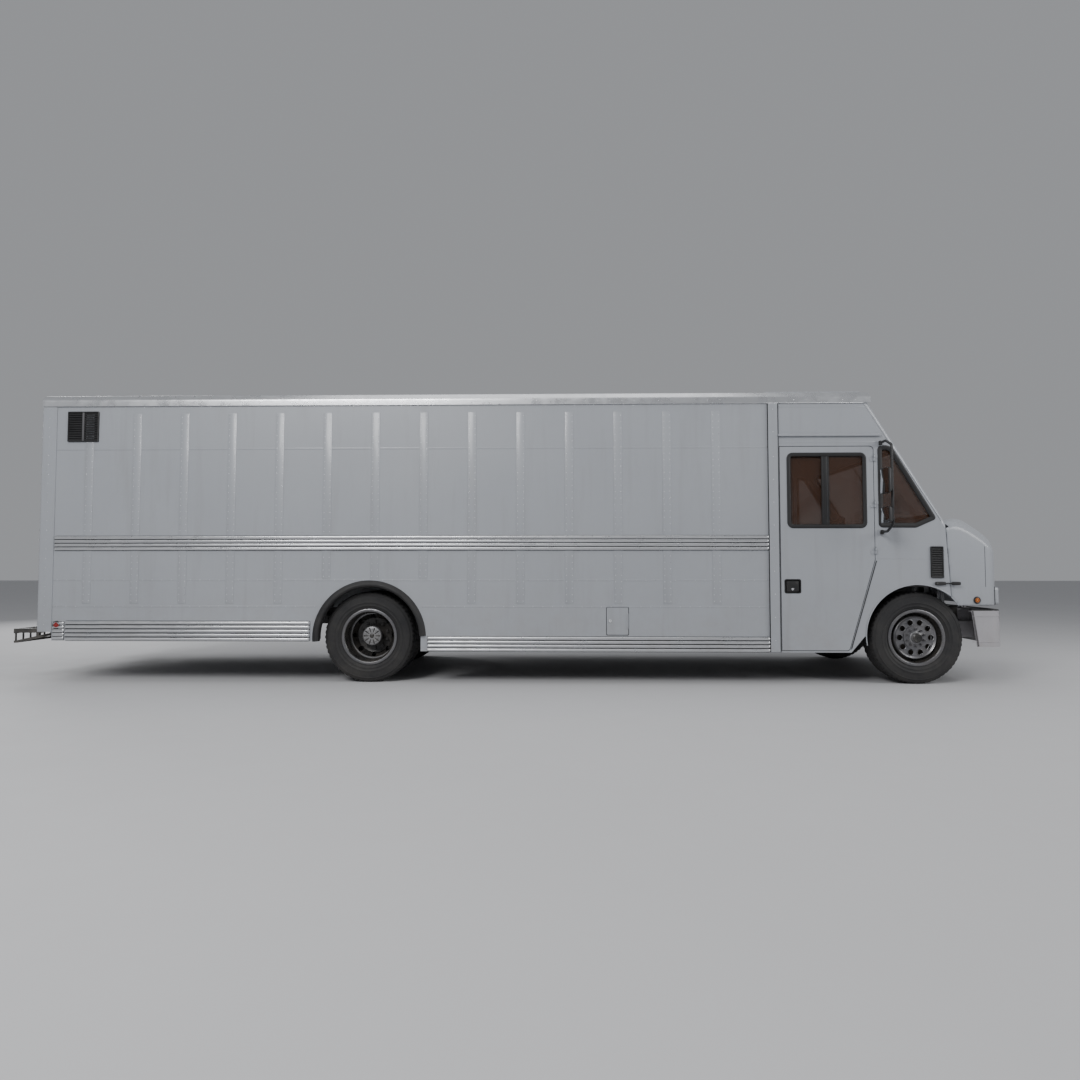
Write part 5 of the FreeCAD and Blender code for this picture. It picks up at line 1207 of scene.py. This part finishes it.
# ================================================================ wheels
def tyre_look(x, y0, s):
    n = 275
    up = [(274, -99), (292, -111.5), (300, -116), (303, -119), (306, -118.6), (309, -117.6), (330, -122.4), (333, -125), (336, -123.4), (360, -125), (388, -123), (393, -122.2),
          (396, -124.6), (400, -123.6), (403, -120), (415, -116), (426, -110)]
    left = [("k", 433, -104), ("k", 438, -92), ("t", 440, -84), ("t", 440, -67), ("g", 428, -65.6), ("g", 428, -58), ("t", 440, -56.6), ("t", 440, -27), ("g", 428, -25.6), ("g", 428, -18),
            ("t", 440, -16.6)]
    prof = [("s", r, o) for r, o in up] + left + [("c", 440, 0)] + [(k, r, -o) for k, r, o in reversed(left)] + [("s", r, -o) for r, o in reversed(up)]
    prof += [("s", 250, 96), ("s", 250, 80), ("s", 300, 96), ("s", 345, 108), ("s", 395, 106), ("s", 420, 92), ("s", 426, 0), ("s", 420, -92), ("s", 395, -106), ("s", 345, -108), ("s", 300, -96),
             ("s", 250, -80), ("s", 250, -96)]
    rings = []
    for kind, r, o in prof:
        ring = []
        for j in range(n):
            a = 2 * math.pi * j / n
            q = j % 5
            rr, oo = r, o
            if kind == "k":
                rr = r - (8 if q in (0, 1) else 0)
            elif kind in "tg" and abs(o) > 30 and kind == "t" and abs(o) > 66:
                rr = r - (6 if q in (0, 1) and abs(o) > 80 else 0)
            if kind in "tg" and abs(o) < 66:
                oo = o + (3.2 if (j // 5) % 2 else -3.2) * (1 if q in (1, 2, 3) else 0)
            if kind == "t" and 27 <= abs(o) <= 57 and q == 0:
                rr = r - 2.5
            if kind == "c" and q == 2:
                rr = r - 3.0
            ring.append((x + rr * math.cos(a), s * (y0 + oo), 440 + rr * math.sin(a)))
        rings.append(ring)
    return loft(rings, close_v=True)


for s, w in SIDES:
    g = G().add(tyre_look(5283, 990, s))
    piece("front_tyre_tread_" + w, g, BODY["front_tyre_" + w], "tyre", smooth=34, replaces=["front_tyre_" + w])
    g = G().add(tyre_look(0, 985, s)).add(tyre_look(0, 695, s))
    piece("rear_tyre_treads_" + w, g, BODY["rear_tyres_" + w], "tyre", smooth=34, replaces=["rear_tyres_" + w])

    fx, fz = 5283.0, 440.0

    def fr(c, nrm):
        r = math.hypot(c.x - fx, c.z - fz)
        o = abs(c.y) - 990
        if o < 12 and r < 212:
            return 2
        if r > 242 and o > 60:
            return 0
        if r > 209:
            return 1
        if r < 36:
            return 1
        if r < 60 and o > 80:
            return 3
        return 0

    o = carry("front_wheel_" + w, bevel=2.2, name="front_wheel_disc_" + w, mats=["wheel_steel", "wheel_black", "cast_iron", "marker_green"])
    paint(o, fr)
    g = G()
    g.add(lathe_y([(246, 104), (247, 108), (252, 110), (266, 110), (271, 107.5), (271, 103), (268, 101), (250, 101)], fx, fz, 990, 1, 96, closed=True), 0)
    for k in range(40):
        a = 2 * math.pi * k / 40
        g.add(dome((fx + 259 * math.cos(a), 990 + 109.6, fz + 259 * math.sin(a)), (0, 1, 0), 3.4, 1.8, 8), 1)
    for k in range(10):
        a = math.radians(k * 36 + 18)
        p = (fx + 84 * math.cos(a), 990 + 87.5, fz + 84 * math.sin(a))
        g.add(lathe([(15.5, -1), (15.5, 2.4), (12, 3.2)], p, (0, 1, 0), 20), 2)
        g.add(lathe([(6, 18), (6, 29), (4.4, 31), (0.01, 31)], p, (0, 1, 0), 12), 2)
    for k in range(10):
        a = math.radians(k * 36)
        px, pz = fx + 148 * math.cos(a), fz + 148 * math.sin(a)
        g.add(lathe([(26.6, -10), (26.6, 0.6), (28.6, 2.4), (31.4, 1.6), (32.4, -1.0)], (px, 990 + 76.4, pz), (0, 1, 0), 28), 2)
    g.add(lathe([(44, 122), (44, 126), (38, 130), (36, 131.5), (30, 130), (29, 127), (0.01, 127)], (fx, 990, fz), (0, 1, 0), 40), 3)
    g.add(tube([(fx + 232, 990 + 60, fz + 20), (fx + 228, 990 + 92, fz + 20)], 4, n=8), 1)
    piece("front_wheel_trim_" + w, g.side(s), BODY["front_wheel_" + w], "wheel_steel", ["wheel_steel", "cast_iron", "wheel_steel", "wheel_black"], smooth=40)

    def rr_(c, nrm):
        r = math.hypot(c.x, c.z - fz)
        o_ = abs(c.y)
        if r > 244 and o_ > 985 + 90:
            return 1
        if r < 97 and o_ > 920:
            return 2
        return 0

    o = carry("rear_wheels_" + w, bevel=2.2, name="rear_wheel_dishes_" + w, slot="wheel_steel", mats=["wheel_black", "wheel_steel", "marker_green"])
    paint(o, rr_)
    g = G()
    g.add(lathe_y([(246, 104), (247, 108), (252, 109.6), (266, 109.6), (271, 107), (271, 103), (268, 101), (250, 101)], 0, fz, 985, 1, 96, closed=True), 0)
    # hub face: ten petals round a dark centre
    g.add(lathe([(95, 126), (95, 134), (90, 141), (84, 143.5), (24, 143.5), (22, 141), (20, 139.5), (0.01, 139.5)], (0, 845, fz), (0, 1, 0), 60), 1)
    for k in range(10):
        a = math.radians(k * 36)
        ca, sa = math.cos(a), math.sin(a)
        o1 = [(r_ * ca - t_ * sa, fz + r_ * sa + t_ * ca) for r_, t_ in ((34, -4), (80, -7.5), (84, 0), (80, 7.5), (34, 4))]
        g.add(plate(o1, ypos(845), 143, 145.2, 0.6), 2)
        a = math.radians(k * 36 + 18)
        g.add(dome((62 * math.cos(a), 845 + 143.3, fz + 62 * math.sin(a)), (0, 1, 0), 9, 4.5, 14), 1)
        p = (128 * math.cos(a), 874, fz + 128 * math.sin(a))
        g.add(lathe([(6, 0), (6, 11), (4.6, 12.6), (0.01, 12.6)], p, (0, 1, 0), 12), 3)
    g.add(lathe([(21, 139.5), (21, 145), (18, 147.5), (0.01, 148.5)], (0, 845, fz), (0, 1, 0), 30), 2)
    piece("rear_wheel_hub_face_" + w, g.side(s), BODY["rear_wheels_" + w], "wheel_steel", ["wheel_steel", "marker_green", "wheel_black", "wheel_black"], smooth=40)

# =============================================================== mirrors
for s, w in SIDES:
    g = G()
    g.add(tube([(4926, 1208, 2306), (4918, 1330, 2306), (4918, 1450, 2250), (4918, 1450, 1510), (4920, 1330, 1452), (4926, 1208, 1452)], 12, 44, n=14), 0)
    for z in (2284, 1430):
        g.add(lathe([(0.01, 0), (15, 0), (17, 2), (17, 38), (15, 40), (0.01, 40)], (4926, 1208, z), (0, 0, 1), 28), 0)
        g.add(lathe([(7, 40), (7, 44), (0.01, 45)], (4926, 1208, z), (0, 0, 1), 12), 2)
    for z0, z1, hw in ((1795, 2031, 96), (1522, 1673, 92)):
        cy, zc = 1440, (z0 + z1) / 2
        base = rnd([(cy - hw, z0), (cy + hw, z0), (cy + hw, z1), (cy - hw, z1)], 20, 6)
        rings = []
        for xx, k, ins in ((4849, 1, 6), (4846.4, 1, 3), (4847.5, 1, 0.6), (4851, 1, 0), (4864, 1, 0), (4869, 0.965, 0), (4884, 0.84, 0), (4898, 0.66, 0), (4908, 0.47, 0), (4914, 0.28, 0)):
            rings.append([(xx, cy + (u - cy) * k, zc + (v - zc) * k) for u, v in offs(base, -ins)])
        g.add(loft(rings, caps=(False, True)), 0)
        g.add(plate(offs(base, -5.5), xpos(4849.6), -1.4, 1.4, 0.5), 1)
        for dz in (-30, 30):
            g.add(rbox(4904, 4924, 1436, 1464, zc + dz - 9, zc + dz + 9, 3, 4), 0)
            g.join(bolt((4925, 1450, zc + dz), (1, 0, 0), 5.5, 5, True))
    piece("mirror_set_" + w, g.side(s), "mirror_" + w, "black_plastic", ["black_plastic", "mirror_glass", "dark_steel"], smooth=38, replaces=["mirror_" + w])

# ============================================================== interior
WC = Vector((5070.0, 570.0, 1600.0))
WN = Vector((-0.5, 0, 0.8660254))
g = G()
sec = [(215 + 15 * math.cos(2 * math.pi * k / 14) * (0.94), 15 * math.sin(2 * math.pi * k / 14)) for k in range(14)]
g.add(lathe(sec, WC, WN, 96, closed=True), 0)
wu, wv = Vector((0, 1, 0)), WN.cross(Vector((0, 1, 0)))
for k in range(4):
    a = math.radians(45 + 90 * k)
    d = wu * math.cos(a) + wv * math.sin(a)
    g.add(tube([WC + d * 30 - WN * 12, WC + d * 90 - WN * 13, WC + d * 150 - WN * 8, WC + d * 208 - WN * 1], lambda t: 13 - 4.5 * t, n=12, up=tuple(WN)), 0)
g.add(lathe([(0.01, -38), (30, -38), (40, -30), (43, -10), (40, 0), (34, 3), (32, 1.5), (28, 4), (0.01, 6)], WC, WN, 40), 0)
piece("steering_wheel_rim", g, "steering_wheel", "black_plastic", smooth=50, replaces=["steering_wheel"])

carry("dashboard", bevel=7, name="dashboard_panel", smooth=40)
g = G()
DN = Vector((-0.894, 0, 0.447))
DU = Vector((0.447, 0, 0.894))
for y, R in ((482, 34), (570, 37), (658, 34)):
    p = Vector((5310, y, 1540)) + DN * 0.5
    g.add(lathe([(R, -2), (R, 4), (R - 2.5, 6.5), (R - 5, 4), (R - 5, 0.8)], p, DN, 36), 0)
    g.add(lathe([(R - 4.6, 0.8), (R - 5.4, 1.4), (0.01, 1.4)], p, DN, 30), 1)
    for k in range(11):
        a = math.radians(-40 + 26 * k)
        dd = Vector((0, 1, 0)) * math.cos(a) + DU * math.sin(a)
        q = p + DN * 1.9
        g.add(tube([q + dd * (R - 12), q + dd * (R - 7)], 0.8, n=6), 2)
    dd = Vector((0, 1, 0)) * math.cos(2.2) + DU * math.sin(2.2)
    g.add(tube([p + DN * 2.4, p + DN * 2.4 + dd * (R - 12)], 1.0, n=6), 3)
for i in range(7):
    g.add(blob((5327, 150 - i * 55, 1400), (5, 9, 14), 4, 12, 8), 0)
g.add(rbox(5322, 5331, -900, -420, 1290, 1420, 3, 12), 0)
piece("dash_instruments", g, BODY["dashboard"], "black_plastic", ["black_plastic", "dial_face", "dial_tick", "red_lens"], smooth=40)

# driver seat: pan carried over, cushion and back as stuffed vinyl
base_l = [L for L in islands("driver_seat") if L["hi"].z < 1.1135]
if base_l:
    lump_piece("driver_seat", "seat_pan", base_l, "dark_steel", bevel=1.5)
else:
    g = G().add(rbox(4400, 4760, 440, 700, 1083, 1099, 3, 8)).add(rbox(4400, 4420, 440, 700, 1099, 1113, 2)).add(rbox(4730, 4750, 440, 700, 1099, 1113, 2))
    piece("seat_pan", g, BODY["driver_seat"], "dark_steel", smooth=30)


def block(prof, y0, y1, shrink):
    o2 = offs(prof, -shrink)
    return plate(o2, lambda u, v, d: (u, d, v), y0 + shrink, y1 - shrink, 26)


def stuffed(name, vf, cap, voxel=0.0075, pressure=4.0):
    g = G().add(vf)
    o = bpy.data.objects.new(name, mesh_from(g, name))
    bpy.context.scene.collection.objects.link(o)
    m = o.modifiers.new("r", "REMESH")
    m.mode = "VOXEL"
    m.voxel_size = voxel
    dg = bpy.context.evaluated_depsgraph_get()
    me = bpy.data.meshes.new_from_object(o.evaluated_get(dg))
    o.modifiers.clear()
    o.data = me
    start = [v.co.copy() for v in me.vertices]
    c = o.modifiers.new("cloth", "CLOTH")
    st = c.settings
    st.quality = 4
    st.mass = 0.2
    st.tension_stiffness = 14
    st.compression_stiffness = 14
    st.shear_stiffness = 8
    st.bending_stiffness = 0.6
    st.use_pressure = True
    st.uniform_pressure_force = pressure
    st.effector_weights.gravity = 0.0
    c.collision_settings.use_collision = False
    c.collision_settings.use_self_collision = False
    c.point_cache.frame_start = 1
    c.point_cache.frame_end = 20
    sc = bpy.context.scene
    for f in range(1, 21):
        sc.frame_set(f)
        dg = bpy.context.evaluated_depsgraph_get()
        dg.update()
    me2 = bpy.data.meshes.new_from_object(o.evaluated_get(dg))
    for a, v in zip(start, me2.vertices):
        d = v.co - a
        if d.length > cap:
            v.co = a + d * (cap / d.length)
    o.modifiers.clear()
    o.data = me2
    sc.frame_set(1)
    return o


CUSH = rnd([(4390, 1114), (4860, 1114), (4872, 1180), (4850, 1232), (4500, 1222), (4390, 1206)], [20, 30, 30, 30, 60, 20], 5)
BACK = rnd([(4412, 1214), (4470, 1236), (4396, 1680), (4330, 2010), (4270, 2040), (4232, 2010), (4300, 1600)], [20, 20, 0, 40, 20, 30, 0], 5)


def channel(o, rows, lo_hi, up, width=9.0, depth=7.0):
    """Stitched channels: vertices near each row sink along the face."""
    for v in o.data.vertices:
        x, y, z = (v.co.x - AX) * 1000, v.co.y * 1000, v.co.z * 1000
        k = up(x, y, z)
        if k is None:
            continue
        e = sum(math.exp(-((y - r) / width) ** 2) for r in rows)
        e2 = sum(math.exp(-((k[1] - r) / width) ** 2) for r in lo_hi)
        t = min(1.0, max(e, e2)) * depth / 1000.0
        v.co += Vector(k[0]) * -t


cu = stuffed("seat_cushion", block(CUSH, 325, 815, 14), 0.022)
channel(cu, (415, 495, 570, 645, 725), (4450,), lambda x, y, z: ((0, 0, 1), x) if z > 1196 else None)
finish_obj(cu, BODY["driver_seat"], ["seat_vinyl"], 60, 0, ["driver_seat"])
bk = stuffed("seat_backrest", block(BACK, 345, 795, 14), 0.020)
BN = Vector((0.985, 0, 0.17))
channel(bk, (425, 500, 570, 640, 715), (1860,), lambda x, y, z: (tuple(BN), z) if x > 4470 - (z - 1236) * 0.176 - 34 else None)
finish_obj(bk, BODY["driver_seat"], ["seat_vinyl"], 60, 0, ())
for q in (cu, bk):
    for p in q.data.polygons:
        p.material_index = 0
    sb = q.modifiers.new("sub", "SUBSURF")
    sb.levels = sb.render_levels = 1
g = G()
for pts in ([(4402, 338, 1118), (4850, 338, 1118), (4862, 338, 1178), (4842, 338, 1222)],):
    g.add(tube(pts, 4.0, 20, n=8))
    g.add(tube([(x, 1140 - y, z) for x, y, z in pts], 4.0, 20, n=8))
piece("seat_piping", g, BODY["driver_seat"], "seat_vinyl", smooth=50)

# ============================================================ rear doors
def xneg(x0):
    return lambda u, v, d: (x0 - d, u, v)


RW = rnd([(250, 1780), (850, 1780), (850, 2380), (250, 2380)], 50, 8)
for s, w in SIDES:
    node = "rear_door_" + w
    lumps = islands(node)
    glass = [L for L in lumps if (L["hi"].x - L["lo"].x) < 0.009 and (L["hi"].y - L["lo"].y) > 0.4]
    rest = [L for L in lumps if not any(L is q for q in glass)]
    lump_piece(node, "rear_door_leaf_" + w, rest, "body_paint", bevel=2.4, replaces=True)
    if glass:
        lump_piece(node, "rear_door_glass_" + w, glass, "tinted_glass", bevel=0.6)
    g = G().add(sweep_outline(RW, xneg(-3282), [(9, -0.3), (8.5, 3.5), (3, 6.5), (-8, 7), (-16, 4.5), (-19, -2), (-17, -10), (-2, -10), (-1, -3), (0.5, -0.4)]))
    piece("rear_window_rubber_" + w, g.side(s), node, "black_rubber", smooth=45)
    g = G()
    for z0, z1 in ((900, 1230), (1290, 1600)):
        o1 = rnd([(110, z0), (980, z0), (980, z1), (110, z1)], 40, 6)
        g.add(sweep_outline(o1, xneg(-3282), [(5, -0.4), (4, 1.6), (0, 3.0), (-4, 1.6), (-5, -0.4)]))
    for z in range(840, 2600, 88):
        for y in (30, 1062):
            g.add(dome((-3282, y, z), (-1, 0, 0), 3.8, 1.7, 7))
    piece("rear_door_pressings_" + w, g.side(s), node, "body_paint", smooth=45)
    g = G()
    g.add(sweep_outline(rnd([(12, 798), (1080, 798), (1080, 2606), (12, 2606)], 4, 2), xneg(-3246), [(0, 0), (4, -1.5), (4, -4.5), (0, -5.5), (-4, -4.5), (-4, -1.5)]))
    piece("rear_door_weatherstrip_" + w, g.side(s), node, "black_rubber", smooth=45)

# bulkhead door
lumps = islands("bulkhead_door")
glass = [L for L in lumps if (L["hi"].x - L["lo"].x) < 0.009 and (L["hi"].y - L["lo"].y) > 0.3]
rest = [L for L in lumps if not any(L is q for q in glass)]
lump_piece("bulkhead_door", "bulkhead_door_panel", rest, SLOT["bulkhead_door"], bevel=1.6, replaces=True)
if glass:
    lump_piece("bulkhead_door", "bulkhead_door_glass", glass, "tinted_glass", bevel=0.6)

# fuel flap lock and seal
FU = rnd([(2306, 468), (2519, 468), (2519, 735), (2306, 735)], 12, 5)
g = G().add(sweep_outline(FU, ypos(HW), [(2.5, -0.3), (2.5, 1.2), (0.5, 2.0), (-2.4, 1.2), (-2.6, -5), (0, -5)]))
piece("fuel_flap_seal", g.flip(), "root", "black_rubber", smooth=40)
g = G()
g.add(lathe([(14, -0.4), (14, 1.4), (12, 2.4), (8, 1.4), (7.5, 0.8), (0.01, 0.8)], (2342, HW + 3.6, 602), (0, 1, 0), 24), 0)
g.add(rbox(2341, 2343.2, HW + 4.2, HW + 5.2, 597, 607, 0.3), 1)
piece("fuel_flap_lock", g.flip(), BODY["fuel_door"], "aluminium", ["aluminium", "black_rubber"], smooth=40)

# ======================================================= studio and camera
fm = surface("studio_floor", (0.52, 0.52, 0.53), (0.50, 0.50, 0.51), rough=0.75, grain=(30, 0.02), scale=0.4, dust=0.0)
me = bpy.data.meshes.new("studio_floor")
R = 70.0
me.from_pydata([(-R, -R, 0), (R, -R, 0), (R, R, 0), (-R, R, 0)], [], [(0, 1, 2, 3)])
me.materials.append(fm)
floor = bpy.data.objects.new("studio_floor", me)
bpy.context.scene.collection.objects.link(floor)

world = bpy.data.worlds.new("studio_world")
world.use_nodes = True
bg = world.node_tree.nodes.get("Background") or world.node_tree.nodes.new("ShaderNodeBackground")
bg.inputs["Color"].default_value = (0.86, 0.88, 0.92, 1.0)
bg.inputs["Strength"].default_value = 0.36
bpy.context.scene.world = world


def area(name, loc, aim, size, power, col=(1, 1, 1)):
    li = bpy.data.lights.new(name, "AREA")
    li.shape = "SQUARE"
    li.size = size
    li.energy = power
    li.color = col
    ob = bpy.data.objects.new(name, li)
    ob.location = loc
    ob.rotation_euler = (Vector(aim) - Vector(loc)).to_track_quat("-Z", "Y").to_euler()
    bpy.context.scene.collection.objects.link(ob)


area("key_soft", (-4.5, -11.0, 8.5), (0.5, 0, 1.0), 5.0, 1050.0)
area("front_soft", (10.5, -5.0, 5.0), (2.5, 0, 1.3), 5.0, 420.0)
area("top_soft", (0.0, -1.0, 9.0), (0, 0, 1.0), 8.0, 260.0)
area("back_soft", (-9.5, 6.5, 5.5), (-1, 0, 1.3), 5.0, 380.0)

cam = bpy.data.cameras.new("camera")
cam.lens = 23.91
cam.sensor_width = 36.0
cam.clip_end = 300.0
ob = bpy.data.objects.new("camera", cam)
yaw, pit = math.radians(-1.265), math.radians(2.444)
Fv = Vector((math.sin(yaw) * math.cos(pit), math.cos(yaw) * math.cos(pit), math.sin(pit)))
Rv = Vector((math.cos(yaw), -math.sin(yaw), 0))
Uv = Vector((-math.sin(yaw) * math.sin(pit), -math.cos(yaw) * math.sin(pit), math.cos(pit)))
mw = Matrix.Identity(4)
for i in range(3):
    mw[i][0], mw[i][1], mw[i][2] = Rv[i], Uv[i], -Fv[i]
mw[0][3], mw[1][3], mw[2][3] = 0.4845, -8.091, 1.085
ob.matrix_world = mw
bpy.context.scene.collection.objects.link(ob)
bpy.context.scene.camera = ob
